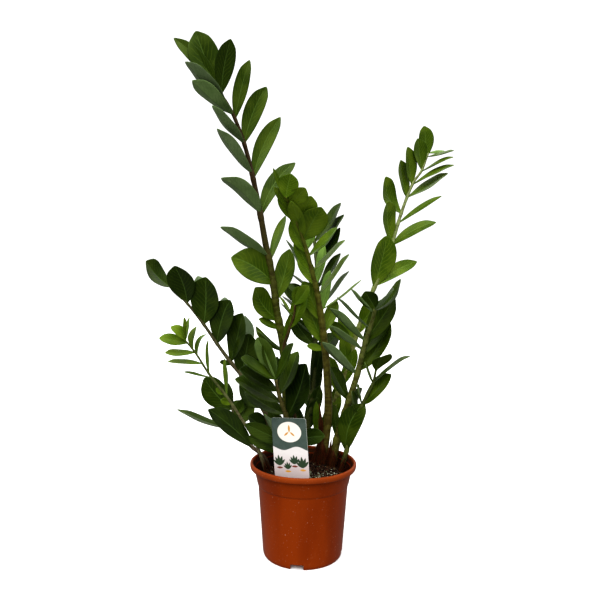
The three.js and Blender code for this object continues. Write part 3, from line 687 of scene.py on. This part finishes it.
def notch_cutter(number):
    """A box across the foot ring, turned to the notch's place, used only to cut with."""
    corner = np.array([[x, y, z] for z in (-1, 1) for y in (-1, 1) for x in (-1, 1)], float)
    box = corner * [NOTCH_WIDTH / 2, NOTCH_DEPTH / 2, NOTCH_HEIGHT] - [0, POT_FOOT_RADIUS, 0]
    turn = turns_about(2, [2 * np.pi * number / NOTCHES + NOTCH_TURN])[0]
    faces = [[0, 2, 3, 1], [4, 5, 7, 6], [0, 1, 5, 4], [2, 6, 7, 3], [0, 4, 6, 2], [1, 3, 7, 5]]
    return mesh_object("cutter", box @ turn.T, faces, [])


def drain_cutter(number):
    """A round rod through the floor, used only to cut with."""
    foot, top = DRAIN_ROD
    profile = np.array([[0, foot], [DRAIN_RADIUS, foot], [DRAIN_RADIUS, top], [0, top]], float)
    points, faces = turned(profile, DRAIN_SIDES)
    turn = 2 * np.pi * (number + 0.5) / DRAINS
    place = [DRAIN_CIRCLE * np.cos(turn), DRAIN_CIRCLE * np.sin(turn), 0]
    return mesh_object("cutter", points + place, faces, [])


def pot_piece(materials):
    """The pot's profile turned about its axis, with the notches and the drain holes cut out."""
    underside = POT_FLOOR_TOP - POT_FLOOR_THICK
    corners = [
        (0, 0, 0),
        (DISC_RADIUS, 0, 0.5),
        (DISC_RADIUS + 1, underside, 0.8),
        (POT_FOOT_RADIUS - 1.6, underside, 0.5),
        (POT_FOOT_RADIUS - 1.2, 0, 0.3),
        (POT_FOOT_RADIUS + 0.4, 0, 0.9),
        (BODY_RADIUS - 0.1, BODY_HEIGHT, 1.6),
        (STEP_RADIUS - 0.1, STEP_HEIGHT - 0.6, 0.5),
        (STEP_RADIUS + 0.5, STEP_HEIGHT - 0.1, 0.25),
        (STEP_RADIUS + 1.2, STEP_HEIGHT + 1.6, 0.7),
        (NECK_RADIUS - 1.2, NECK_HEIGHT - 7, 5),
        (NECK_RADIUS, NECK_HEIGHT - 0.6, 0.5),
        (POT_RIM_RADIUS - 1.2, NECK_HEIGHT + 0.2, 1.6),
        (POT_RIM_RADIUS, POT_HEIGHT - 4, 2.2),
        (POT_RIM_RADIUS - 1.2, POT_HEIGHT, 2.2),
        (POT_RIM_RADIUS - 4.6, POT_HEIGHT, 1.8),
        (POT_RIM_RADIUS - 5.8, POT_HEIGHT - 6, 2.5),
        (NECK_RADIUS - POT_WALL, NECK_HEIGHT - 1, 3),
        (STEP_RADIUS + 1 - POT_WALL, STEP_HEIGHT + 2, 0.8),
        (inside_at(STEP_HEIGHT - 1), STEP_HEIGHT - 1, 0.8),
        (inside_at(POT_FLOOR_TOP), POT_FLOOR_TOP, 0.8),
        (0, POT_FLOOR_TOP, 0),
    ]
    points, faces = turned(rounded(corners), POT_COLUMNS)
    pot = mesh_object("pot_moulding", points, faces, materials)
    cutters = [notch_cutter(i) for i in range(NOTCHES)] + [drain_cutter(i) for i in range(DRAINS)]
    for body in cutters:
        cut = pot.modifiers.new("cut", "BOOLEAN")
        cut.operation, cut.solver, cut.object = "DIFFERENCE", "EXACT", body
    settle(pot)
    for body in cutters:
        bpy.data.objects.remove(body)
    pot.data.set_sharp_from_angle(angle=SHARP_ANGLE)
    stain_and_shade(pot)
    return pot


def stain_and_shade(pot):
    """How dark each point of the pot is: inside the wall's middle, below the lip, soil dirt and painted
    shade.
    """
    points = np.zeros(len(pot.data.vertices) * 3, np.float32)
    pot.data.vertices.foreach_get("co", points)
    points = points.reshape(-1, 3) / MM
    radius, height = np.hypot(points[:, 0], points[:, 1]), points[:, 2]
    levels = [BODY_HEIGHT, STEP_HEIGHT, STEP_HEIGHT + 2, NECK_HEIGHT, NECK_HEIGHT + 1.5]
    outside = [BODY_RADIUS, STEP_RADIUS, STEP_RADIUS + 1, NECK_RADIUS, POT_RIM_RADIUS - 2.5]
    inner = (radius < np.interp(height, levels, outside) - POT_WALL * 0.7) & (height > POT_FLOOR_TOP - 0.5)
    # Inside the pot, below the lip, points are darkened: dirt from the soil and painted shade in the
    # hollow.
    soiled_and_shaded = inner * np.clip((POT_HEIGHT - 1 - height) / 5, 0, 1)
    pot.data.attributes.new("stain_and_shade", "FLOAT", "POINT").data.foreach_set("value", soiled_and_shaded.astype(np.float32))


def settle(piece):
    """The piece's modifiers are applied to its mesh."""
    depsgraph = bpy.context.evaluated_depsgraph_get()
    applied = bpy.data.meshes.new_from_object(piece.evaluated_get(depsgraph))
    piece.modifiers.clear()
    piece.data = applied


# ---- Soil --------------------------------------------------------------------------------------
SOIL_COLUMNS = 120
SOIL_RINGS = 42


def soil_height(x, y):
    """Highest in the middle, lower at the wall, with lumps made of a few crossing waves."""
    radius = np.hypot(x, y) / STEP_RADIUS
    lumps = np.sin(x * 0.21 + 1) * np.cos(y * 0.17) + 0.8 * np.sin(x * 0.09 - y * 0.13 + 2)
    small = np.sin(x * 0.61 + y * 0.23) * np.sin(y * 0.57 - x * 0.31 + 1)
    grit = np.sin(x * 1.7 + 2 * np.sin(y * 0.9)) * np.sin(y * 1.9 + 2 * np.sin(x * 0.8))
    return SOIL_EDGE + SOIL_CROWN * (1 - radius**2) + 1.1 * lumps + 0.7 * small + 0.35 * grit


def soil_piece(materials):
    """The block of soil: a profile turned about the axis, whose top follows the soil's height."""
    floor = POT_FLOOR_TOP + SOIL_GAP
    top = STEP_RADIUS + 1 - POT_WALL
    wall = [
        [0, floor], [inside_at(POT_FLOOR_TOP) - SOIL_GAP, floor],
        [inside_at(STEP_HEIGHT - 1) - SOIL_GAP, STEP_HEIGHT - 1], [top, STEP_HEIGHT + 4],
    ]
    rings = np.stack([np.linspace(top, 0, SOIL_RINGS), np.full(SOIL_RINGS, SOIL_EDGE)], 1)
    points, faces = turned(np.vstack([wall, rings]), SOIL_COLUMNS)
    upper = points[:, 2] > SOIL_EDGE - 0.5
    points[upper, 2] = soil_height(points[upper, 0], points[upper, 1])
    return mesh_object("soil_bed", points, faces, materials)


CRUMB_ROUND = 6
CRUMB_ROWS = 3
CRUMB_UNEVEN = 0.28
CRUMB_TILT = 0.5
CRUMB_LIFT = (-0.2, 0.7)
ALL_ROUND = (0, 2 * math.pi)
HEAP_SECTOR = (-1.35, 0.2)
# The loose bits, a row each: the piece's name; how many; their smallest and largest half length,
# half width and half height; how far they spread; their darkest and lightest tone; their sector.
CRUMBS = [
    ("bark_chips", 420, [(2.2, 1.2, 0.5), (5.5, 2.8, 1.3)], 67, (0, 0.86), ALL_ROUND),
    ("peat_crumbs", 1500, [(0.7, 0.6, 0.5), (1.8, 1.4, 1.1)], 69.5, (0, 0.8), ALL_ROUND),
    ("pale_bits", 90, [(0.9, 0.7, 0.4), (2.6, 1.5, 0.8)], 66, (0.88, 1), ALL_ROUND),
    ("pale_heap", 190, [(1, 0.8, 0.5), (3.2, 1.9, 1)], 68, (0.88, 1), HEAP_SECTOR),
]


def random_turns(rng, count, tilt):
    """Rotations: a heading all round, after a tilt of up to so many radians about a level line."""
    heading = rng.uniform(0, 2 * np.pi, count)
    lean = rng.uniform(-tilt, tilt, (count, 2))
    return turns_about(2, heading) @ turns_about(0, lean[:, 0]) @ turns_about(1, lean[:, 1])


def crumbs_piece(name, count, size, spread, shade, sector, materials, rng):
    """Loose bits on the soil: one ball for each, made uneven, stretched, turned and laid down.

    size holds the lowest and highest half length, half width and half height; spread is how far
    from the middle the bits lie, evenly over the disc or a sector; shade their darkest and lightest.
    """
    polar = np.linspace(0, np.pi, CRUMB_ROWS + 2)
    shape, faces = turned(np.stack([np.sin(polar), -np.cos(polar)], 1), CRUMB_ROUND)
    uneven = 1 + rng.uniform(-CRUMB_UNEVEN, CRUMB_UNEVEN, (count, len(shape), 1))
    stretch = rng.uniform(*np.array(size, float), (count, 3))
    bits = shape[None] * uneven * stretch[:, None]
    bits = np.einsum("nij,nkj->nki", random_turns(rng, count, CRUMB_TILT), bits)
    radius = spread * np.sqrt(rng.uniform(0, 1, count))
    angle = rng.uniform(*sector, count)
    x, y = radius * np.cos(angle), radius * np.sin(angle)
    z = soil_height(x, y) + stretch[:, 2] * rng.uniform(*CRUMB_LIFT, count)
    bits = bits + np.stack([x, y, z], 1)[:, None]
    every = []
    for face in (np.array([f for f in faces if len(f) == size_of]) for size_of in (3, 4)):
        start = np.arange(count)[:, None, None] * len(shape)
        every += (face[None] + start).reshape(-1, face.shape[1]).tolist()
    tone = np.repeat(rng.uniform(*shade, count), len(shape))
    return mesh_object(name, bits.reshape(-1, 3), every, materials, values={"tone": tone})


# ---- Plant label -------------------------------------------------------------------------------
LABEL_RIM = 0.2
CORNER_STEPS = 9


def label_outline():
    """The card's edge, anticlockwise: stake, shoulders, straight sides and two round corners."""
    half, stake = LABEL_WIDTH / 2, LABEL_STAKE / 2
    arc = np.linspace(0, np.pi / 2, CORNER_STEPS)
    corner = LABEL_CORNER * np.stack([np.cos(arc), np.sin(arc)], 1)
    right = [
        [0, LABEL_POINT], [stake, LABEL_POINT + LABEL_STAKE], [stake, LABEL_SHOULDER - LABEL_SLOPE],
        [half, LABEL_SHOULDER],
    ]
    right = np.vstack([right, corner + [half - LABEL_CORNER, LABEL_TOP - LABEL_CORNER]])
    left = right[:0:-1] * [-1, 1]
    return np.vstack([right, left])


def label_place(points):
    """Card coordinates (right, forward, up) turned and leaned into the soil."""
    turn = turns_about(2, [LABEL_TURN])[0] @ turns_about(1, [-LABEL_LEAN])[0]
    return (points * [1, -1, 1] - [0, 0, LABEL_SHOULDER]) @ turn.T + [*LABEL_PLACE, LABEL_SHOULDER]


def label_piece(materials):
    """The card: its outline on a front and a back face, joined by the edge, with bevelled rims."""
    edge = label_outline()
    count = len(edge)
    front = np.stack([edge[:, 0], np.full(count, LABEL_THICK / 2), edge[:, 1]], 1)
    back = front * [1, -1, 1]
    step = np.arange(count)
    after = (step + 1) % count
    faces = [step.tolist(), (step[::-1] + count).tolist()]
    faces += np.stack([step, step + count, after + count, after], 1).tolist()
    kinds = [0, 1] + [1] * count
    uv = np.vstack([edge, edge]) * UV_PER_MM
    points = label_place(np.vstack([front, back]))
    card = mesh_object("label_card", points, faces, materials, uv, kinds=kinds)
    card.data.polygons.foreach_set("use_smooth", np.zeros(len(card.data.polygons), bool))
    bevel = card.modifiers.new("rim", "BEVEL")
    bevel.width = LABEL_RIM * MM
    bevel.segments = 2
    settle(card)
    return card


# ---- Nodes of a material -----------------------------------------------------------------------
class Field:
    """What a node puts out: a number, a place or a colour that changes over the surface.

    Sums, differences, products and quotients with it are Math nodes in its tree, and a title or a
    number in brackets is another output of its node.
    """

    def __init__(self, socket):
        self.socket = socket

    def __getitem__(self, title):
        return Field(self.socket.node.outputs[title])

    def __add__(self, other):
        return calc("ADD", self, other)

    def __sub__(self, other):
        return calc("SUBTRACT", self, other)

    def __rsub__(self, other):
        return calc("SUBTRACT", other, self)

    def __mul__(self, other):
        return calc("MULTIPLY", self, other)

    def __truediv__(self, other):
        return calc("DIVIDE", self, other)


def fill(socket, value):
    """An input is linked to a field or set to a value; a colour of three numbers is opaque."""
    if isinstance(value, Field):
        socket.id_data.links.new(value.socket, socket)
    elif socket.type == "RGBA":
        socket.default_value = (*value, 1)
    else:
        socket.default_value = value


def add(tree, kind, inputs=None, **settings):
    """A new node with its settings and inputs, as the field of its first output."""
    made = tree.nodes.new(kind)
    for title, value in settings.items():
        setattr(made, title, value)
    for title, value in (inputs or {}).items():
        fill(made.inputs[title], value)
    return Field(made.outputs[0])


def home(*values):
    """The tree of the first field among some values."""
    return next(value.socket.id_data for value in values if isinstance(value, Field))


def calc(operation, *values):
    """The result of a Math node."""
    return add(home(*values), "ShaderNodeMath", dict(enumerate(values)), operation=operation)


def split(vector):
    """The three parts of a vector."""
    parts = add(home(vector), "ShaderNodeSeparateXYZ", {0: vector})
    return parts[0], parts[1], parts[2]


def stretched(vector, *scale):
    """Coordinates multiplied along each direction by its own number."""
    return add(home(vector), "ShaderNodeMapping", {"Vector": vector, "Scale": scale})


def noise(vector, scale, detail):
    """Fractal noise from 0 to 1, mostly about a half."""
    return add(home(vector), "ShaderNodeTexNoise", {"Vector": vector, "Scale": scale, "Detail": detail})


def ramp(value, low, high, to_low=0.0, to_high=1.0):
    """A value brought softly from one range to another."""
    inputs = {"Value": value, "From Min": low, "From Max": high, "To Min": to_low, "To Max": to_high}
    return add(home(value), "ShaderNodeMapRange", inputs, interpolation_type="SMOOTHSTEP")


def blend(mask, first, second, way="MIX"):
    """Two colours mixed by a mask."""
    inputs = {0: mask, 6: first, 7: second}
    return add(home(mask, first, second), "ShaderNodeMix", inputs, data_type="RGBA", blend_type=way)[2]


def layered(colour, *layers):
    """A colour under further ones, each given with its mask."""
    for mask, tone in layers:
        colour = blend(mask, colour, tone)
    return colour


def attribute(place, title, output="Fac"):
    """What the mesh stores under a title, read in the tree that the place belongs to."""
    return add(home(place), "ShaderNodeAttribute", attribute_name=title)[output]


def new_group(name, inputs, outputs):
    """An empty node group: its tree, the field of its first input, and its outputs' sockets.

    Each input has a number to start from, or None where it is a vector; each output is a number.
    """
    tree = bpy.data.node_groups.new(name, "ShaderNodeTree")
    for title, value in inputs.items():
        kind = "NodeSocketVector" if value is None else "NodeSocketFloat"
        socket = tree.interface.new_socket(title, in_out="INPUT", socket_type=kind)
        if value is not None:
            socket.default_value = value
    for title in outputs:
        tree.interface.new_socket(title, in_out="OUTPUT", socket_type="NodeSocketFloat")
    source = tree.nodes.new("NodeGroupInput")
    sink = tree.nodes.new("NodeGroupOutput")
    return tree, Field(source.outputs[0]), sink.inputs


def place_group(group, inputs):
    """A node group placed in the tree that its inputs' first field belongs to."""
    return add(home(*inputs.values()), "ShaderNodeGroup", inputs, node_tree=group)


def cloud_group():
    """Clouds: soft fractal patches, as a mask whose edges are set by two levels."""
    inputs = {"Vector": None, "Scale": 5.0, "Detail": 4.0, "Low": 0.4, "High": 0.6}
    tree, source, sink = new_group("clouds", inputs, ["Mask"])
    cloudy = noise(source["Vector"], source["Scale"], source["Detail"])
    fill(sink["Mask"], ramp(cloudy, source["Low"], source["High"]))
    return tree


def leaf_group():
    """The drawing of a leaflet from its own coordinates, t along the midrib and s across it.

    The rib is a narrow stripe at s = 0. The veins leave it in pairs and curve towards the tip: they
    are the lines where 10 t - 3.2 |s| is whole, bent by a little noise, and they fade towards the
    edge. The margin is the outer edge.
    """
    tree, source, sink = new_group("leaf_drawing", {"UV": None}, ["Rib", "Vein", "Margin"])
    t, place_across, _ = split(source["UV"])
    side = calc("ABSOLUTE", place_across * 2.0 - 1.0)
    bent = noise(source["UV"], 6.0, 2.0) * 0.9 + t * 10.0
    phase = calc("FRACT", bent - side * 3.2)
    from_line = calc("ABSOLUTE", phase - 0.5)
    rib_width = t * -0.04 + 0.075
    fill(sink["Rib"], ramp(side / rib_width, 1.0, 0.25))
    fill(sink["Vein"], ramp(from_line, 0.36, 0.5) * ramp(side, 0.95, 0.55))
    fill(sink["Margin"], ramp(side, 0.9, 1.0))
    return tree


def oval_group():
    """A pointed oval about a centre: where plump (1 - y^2) is more than |x|, in its own half lengths."""
    inputs = {"UV": None, "Centre": None, "Turn": 0.0, "Length": 0.1, "Plump": 0.6}
    tree, source, sink = new_group("oval_motif", inputs, ["Mask"])
    shifted = add(tree, "ShaderNodeVectorMath", {0: source["UV"], 1: source["Centre"]},
                  operation="SUBTRACT")
    inputs = {"Vector": shifted, "Angle": source["Turn"]}
    x, y, _ = split(add(tree, "ShaderNodeVectorRotate", inputs, rotation_type="Z_AXIS"))
    along = y / source["Length"]
    across = calc("ABSOLUTE", x) / source["Length"]
    room = (1.0 - along * along) * source["Plump"] - across
    fill(sink["Mask"], ramp(room, 0.0, 0.04))
    return tree


CLOUDS = cloud_group()
LEAF_DRAWING = leaf_group()
OVAL = oval_group()


def cloud(vector, scale, detail, low=0.4, high=0.6):
    """The mask of the clouds group over some coordinates."""
    inputs = {"Vector": vector, "Scale": scale, "Detail": detail, "Low": low, "High": high}
    return place_group(CLOUDS, inputs)


def new_material(name):
    """A material, with its place on the object and its place on the surface as fields."""
    material = bpy.data.materials.new(name)
    material.use_nodes = True
    coordinates = add(material.node_tree, "ShaderNodeTexCoord")
    return material, coordinates["Object"], coordinates["UV"]


def finished(material, colour, roughness, height=None, distance=0.001, strength=1.0,
             specular=0.5, tint=(1, 1, 1)):
    """The material with its shader filled in; a height becomes its bump."""
    tree = material.node_tree
    inputs = {"Base Color": colour, "Roughness": roughness, "Specular IOR Level": specular,
              "Specular Tint": tint}
    if height is not None:
        relief = {"Height": height, "Distance": distance, "Strength": strength}
        inputs["Normal"] = add(tree, "ShaderNodeBump", relief)
    for title, value in inputs.items():
        fill(tree.nodes["Principled BSDF"].inputs[title], value)
    return material


def leaf_upper():
    """Waxy upper face: deep to fresh green, patches of painted sheen, a lighter midrib, arching veins, soft
    gloss.
    """
    material, place, uv = new_material("leaf_upper")
    leaf = place_group(LEAF_DRAWING, {"UV": uv})
    patch = cloud(place, 28.0, 2.0, 0.4, 0.64)
    fresh = attribute(place, "fresh")
    green = blend(fresh, (0.003, 0.009, 0.0003), (0.068, 0.128, 0.003))
    lit = blend(fresh, (0.02, 0.037, 0.0016), (0.195, 0.27, 0.018))
    rib = blend(fresh, (0.05, 0.09, 0.02), (0.15, 0.24, 0.03))
    # Patches of the lighter lit green are painted sheen; the veins are drawn in the same lighter green.
    colour = layered(green, (patch * 0.5, lit), (leaf["Vein"] * 0.7, lit), (leaf["Rib"] * 0.75, rib),
                     (leaf["Margin"] * 0.35, (0.02, 0.035, 0.008)))
    height = leaf["Vein"] * -0.6 + patch
    return finished(material, colour, patch * 0.1 + 0.34, height, 0.0001, specular=0.3,
                    tint=(0.7, 1, 0.35))


def leaf_under():
    """Matt lower face: pale sage green, with a darker midrib and fine raised veins."""
    material, place, uv = new_material("leaf_under")
    leaf = place_group(LEAF_DRAWING, {"UV": uv})
    patch = cloud(place, 60.0, 4.0, 0.3, 0.7)
    fresh = attribute(place, "fresh")
    pale = blend(fresh, (0.15, 0.19, 0.115), (0.19, 0.33, 0.04))
    deep = blend(fresh, (0.07, 0.11, 0.045), (0.1, 0.2, 0.02))
    colour = layered(pale, (patch * 0.5, deep), (leaf["Vein"] * 0.35, deep), (leaf["Rib"] * 0.6, deep))
    height = leaf["Vein"] + patch * 0.4
    return finished(material, colour, 0.5, height, 0.0003, 0.5, specular=0.15, tint=(0.8, 1, 0.6))


def stem_skin():
    """Stem skin: the frond's own colour, with pale flecks, dark bands, and a dark brown foot with painted
    shade.
    """
    material, place, uv = new_material("stem_skin")
    fleck = cloud(place, 240.0, 3.0, 0.55, 0.7)
    band = cloud(stretched(uv, 2.0, 9.0, 1.0), 1.6, 5.0, 0.42, 0.62)
    tint = attribute(place, "tint", "Color")
    dark = blend(1.0, tint, (0.45, 0.36, 0.34), "MULTIPLY")
    pale = blend(1.0, tint, (1.55, 1.6, 1.5), "MULTIPLY")
    knot = attribute(place, "knot")
    # The foot is darkened near the soil: part its dark brown colour, part painted shade.
    foot = ramp(split(place)[2], 0.17, 0.125)
    colour = layered(tint, (band * 0.75, dark), (fleck * 0.5, pale), (knot * 0.4, pale),
                     (foot * 0.75, (0.03, 0.016, 0.007)))
    return finished(material, colour, 0.45, fleck - band, 0.0003, 0.5, specular=0.3, tint=(1, 0.9, 0.5))


def dry_sheath():
    """Dry papery skin: red brown, with long dark fibres and a bleached edge and tip."""
    material, place, uv = new_material("dry_sheath")
    fibre = cloud(stretched(uv, 14.0, 1.2, 1.0), 1.5, 4.0, 0.35, 0.65)
    patch = cloud(place, 130.0, 3.0)
    bleached = ramp(split(uv)[1], 0.6, 1.0)
    brown = blend(fibre, (0.014, 0.004, 0.001), (0.085, 0.018, 0.004))
    colour = layered(brown, (patch * 0.5, (0.03, 0.016, 0.004)), (bleached * 0.45, (0.16, 0.075, 0.03)))
    return finished(material, colour, 0.8, fibre, 0.0004, specular=0.12, tint=(1, 0.6, 0.4))


def pot_plastic():
    """Moulded plastic: terracotta orange, darker flow streaks, pale scuffs and specks of dust.

    The rim is made paler, part wear and part painted highlight; the hollow under it has painted
    shade; and the inside is darkened by dirt from the soil and by painted shade.
    """
    material, place, _ = new_material("pot_plastic")
    streak = cloud(stretched(place, 1.0, 1.0, 0.25), 26.0, 5.0, 0.35, 0.7)
    scuff = cloud(place, 85.0, 6.0, 0.6, 0.78)
    region = cloud(place, 14.0, 2.0, 0.5, 0.7)
    speck = cloud(place, 400.0, 2.0, 0.67, 0.76)
    level = split(place)[2]
    worn = scuff * region * 0.7
    dust = speck * 0.42
    # The rim's top band is made paler: part wear, part painted highlight.
    rim_wear_and_highlight = ramp(level, 0.1375, 0.1405) * 0.22
    shaded = (ramp(level, 0.1345, 0.1372) - ramp(level, 0.1375, 0.139)) * 0.55
    # The inside is made nearly black: dirt from the soil and painted shade in the hollow.
    soiled_and_shaded = attribute(place, "stain_and_shade") * 0.93
    orange = blend(streak, (0.21, 0.03, 0.0015), (0.17, 0.022, 0.001))
    colour = layered(
        orange, (worn, (0.27, 0.08, 0.03)), (dust, (0.45, 0.25, 0.18)), (rim_wear_and_highlight, (0.27, 0.07, 0.018)),
        (shaded, (0.07, 0.008, 0.001)), (soiled_and_shaded, (0.012, 0.005, 0.003)),
    )
    roughness = calc("MAXIMUM", worn, dust) * 0.3 + 0.4
    height = speck * 0.4 + streak * 0.4
    return finished(material, colour, roughness, height, 0.0002, 0.4, specular=0.18, tint=(1, 0.5, 0.2))


def soil_dirt():
    """Damp dark soil with lighter and redder grains."""
    material, place, _ = new_material("soil_dirt")
    grain = cloud(place, 320.0, 6.0, 0.4, 0.65)
    patch = cloud(place, 60.0, 4.0, 0.35, 0.65)
    colour = blend(grain, (0.006, 0.003, 0.0015), (0.05, 0.022, 0.009))
    colour = blend(patch * 0.5, colour, (0.035, 0.013, 0.005))
    return finished(material, colour, 0.95, grain, 0.0012, specular=0.1)


def bark_bits():
    """Crumbs of bark and peat, dark to red brown, and pale grains: by each one's own tone."""
    material, place, _ = new_material("bark_bits")
    grain = cloud(place, 500.0, 5.0, 0.38, 0.66)
    tone = add(material.node_tree, "ShaderNodeValToRGB", {0: attribute(place, "tone")})
    bands = tone.socket.node.color_ramp.elements
    bands[0].color = (0.008, 0.004, 0.002, 1)
    bands[1].position, bands[1].color = 0.55, (0.06, 0.02, 0.008, 1)
    for spot, colour in ((0.8, (0.12, 0.06, 0.025)), (0.9, (0.2, 0.24, 0.13)), (1.0, (0.62, 0.66, 0.52))):
        bands.new(spot).color = (*colour, 1)
    dark = blend(1.0, tone, (0.4, 0.36, 0.34), "MULTIPLY")
    return finished(material, blend(grain, dark, tone), 0.9, grain, 0.0006, specular=0.15)


def stage_paper():
    """Plain pale floor, with the faintest mottling."""
    material, place, _ = new_material("stage_paper")
    return finished(material, blend(noise(place, 3.0, 2.0), (0.9, 0.9, 0.9), (0.93, 0.93, 0.93)), 0.9)


# The label's print, in tenths of a metre on the card. A petal has its centre, its turn and its half
# length; a sprig its middle, its foot, half of a leaf's length and its pot's ink.
OCHRE, GREEN, BROWN = (0.55, 0.27, 0.04), (0.02, 0.045, 0.018), (0.16, 0.035, 0.02)
PETALS = [(0, 2.13, 0, 0.062), (-0.05, 2.05, 0.9, 0.05), (0.05, 2.05, -0.9, 0.05)]
SPRIGS = [
    (-0.19, 1.57, 0.085, BROWN), (-0.055, 1.52, 0.06, OCHRE), (0.06, 1.6, 0.075, BROWN),
    (0.19, 1.55, 0.09, OCHRE),
]
SPRIG_TURNS = (-0.75, -0.32, 0.1, 0.5, 0.9)


def printed_ovals():
    """Three petals, and sprigs of leaves that fan out from their feet, each over a flat pot."""
    ovals = [(*petal, OCHRE) for petal in PETALS]
    for middle, foot, tall, pot_ink in SPRIGS:
        for turn in SPRIG_TURNS:
            reach = tall * (1 - 0.25 * abs(turn))
            centre = (middle - math.sin(turn) * reach, foot + math.cos(turn) * reach)
            ovals.append((*centre, -turn, reach, GREEN))
        ovals.append((middle, foot - 0.03, math.pi / 2, 0.055, pot_ink))
    return ovals


def label_print():
    """Printed plastic card: slate green with a cream oval above, a pale field of potted sprigs below."""
    material, _, uv = new_material("label_print")
    x, y, _ = split(uv)
    paper = cloud(uv, 9.0, 4.0, 0.3, 0.7)
    slate = blend(paper, (0.045, 0.07, 0.055), (0.058, 0.085, 0.07))
    pale = blend(ramp(y, 1.5, 1.8), (0.5, 0.42, 0.41), (0.66, 0.62, 0.6))
    hill = calc("SINE", x * 14.0) * 0.03 + 1.84
    across, up = x / 0.2, (y - 2.08) / 0.155
    spread = calc("SQRT", across * across + up * up)
    colour = layered(slate, (ramp(hill - y, 0.0, 0.01), pale),
                     (ramp(spread, 1.0, 0.97), (0.78, 0.74, 0.66)))
    for centre_x, centre_y, turn, length, ink in printed_ovals():
        inputs = {"UV": uv, "Centre": (centre_x, centre_y, 0), "Turn": turn, "Length": length, "Plump": 0.3}
        colour = blend(place_group(OVAL, inputs), colour, ink)
    return finished(material, colour, paper * 0.1 + 0.35, paper, 0.0001)


def label_back():
    """The card's plain back and edges."""
    material, place, _ = new_material("label_back")
    paper = cloud(place, 90.0, 4.0, 0.3, 0.7)
    return finished(material, blend(paper, (0.6, 0.59, 0.55), (0.66, 0.65, 0.61)), 0.45, paper, 0.0001)


# ---- Stage, light and camera -------------------------------------------------------------------
FLOOR_RADIUS = 12
FLOOR_SIDES = 64
CAMERA_PLACE = (-0.0073, -0.887, 0.432)
CAMERA_DOWN = math.radians(1.86)
CAMERA_ROLL = math.radians(0.48)
CAMERA_LENS = 33.6
DOME_FOOT = 0.0
DOME_TOP = 0.8
DOME_LOW = 0.3
DOME_HIGH = 1.7
SURROUND_POWER = 1.05
LAMP_POWER = 1.7
LAMP_SPREAD = math.radians(40)
LAMP_TURN = (math.radians(38), math.radians(-12), 0)
FILL_POWER = 1.1
FILL_SPREAD = math.radians(90)
FILL_TURN = (math.radians(96), math.radians(4), 0)


def floor_piece(material):
    """A wide level disc."""
    angle = np.linspace(0, 2 * np.pi, FLOOR_SIDES, endpoint=False)
    edge = np.stack([np.cos(angle), np.sin(angle), 0 * angle], 1) * FLOOR_RADIUS / MM
    floor = mesh_object("floor", edge, [list(range(FLOOR_SIDES))], [material])
    floor.visible_glossy = False
    floor.visible_diffuse = False
    return floor


def place_lamp(name, power, spread, turn):
    """A far lamp of some strength and spread, turned to its direction."""
    data = bpy.data.lights.new(name, "SUN")
    data.energy = power
    data.angle = spread
    lamp = add_object(name, data)
    lamp.rotation_euler = turn
    return lamp


def set_stage():
    """Pale floor and a white surround, lit by a soft dome, a broad lamp above and a front fill.

    The dome is dim at the horizon and bright overhead, by a soft step on the height of the
    direction, so that upper faces shine and upright ones stay deep in colour.
    """
    floor_piece(stage_paper())
    world = bpy.data.worlds.new("surround")
    world.use_nodes = True
    tree = world.node_tree
    up = split(add(tree, "ShaderNodeTexCoord")["Generated"])[2]
    dome = tree.nodes["Background"]
    fill(dome.inputs["Color"], (1, 1, 1))
    fill(dome.inputs["Strength"], ramp(up, DOME_FOOT, DOME_TOP, DOME_LOW, DOME_HIGH))
    white = add(tree, "ShaderNodeBackground", {"Color": (1, 1, 1), "Strength": SURROUND_POWER})
    seen = add(tree, "ShaderNodeLightPath")["Is Camera Ray"]
    both = add(tree, "ShaderNodeMixShader", {0: seen, 1: Field(dome.outputs[0]), 2: white})
    fill(tree.nodes["World Output"].inputs[0], both)
    bpy.context.scene.world = world
    place_lamp("broad_lamp", LAMP_POWER, LAMP_SPREAD, LAMP_TURN)
    place_lamp("front_fill", FILL_POWER, FILL_SPREAD, FILL_TURN).visible_glossy = False
    bpy.context.scene.view_settings.view_transform = "Standard"
    bpy.context.scene.view_settings.look = "Medium High Contrast"


def set_camera():
    """The camera, level with the foliage, tipped down and rolled a little."""
    data = bpy.data.cameras.new("camera")
    data.lens = CAMERA_LENS
    camera = add_object("camera", data)
    tip = Matrix.Rotation(math.pi / 2 - CAMERA_DOWN, 4, "X")
    roll = Matrix.Rotation(CAMERA_ROLL, 4, "Z")
    camera.matrix_world = Matrix.Translation(CAMERA_PLACE) @ tip @ roll
    bpy.context.scene.camera = camera


# ---- The plant ---------------------------------------------------------------------------------
set_camera()
set_stage()
leaf_faces = [leaf_upper(), leaf_under()]
skin = [stem_skin()]
papery = [dry_sheath()]
for number, (name, frond) in enumerate(FRONDS.items()):
    rng = np.random.default_rng(SEED + number)
    fit(stem_piece(name, frond, skin, rng), name)
    fit(leaflets_piece(name, frond, leaf_faces, rng), name)
    fit(sheaths_piece(name, frond, papery, rng), name)

fit(pot_piece([pot_plastic()]), "pot")
rng = np.random.default_rng(SEED)
bits = [bark_bits()]
fit(soil_piece([soil_dirt()]), "soil")
for name, *measures in CRUMBS:
    fit(crumbs_piece(name, *measures, bits, rng), "soil")
fit(label_piece([label_print(), label_back()]), "plant_label")
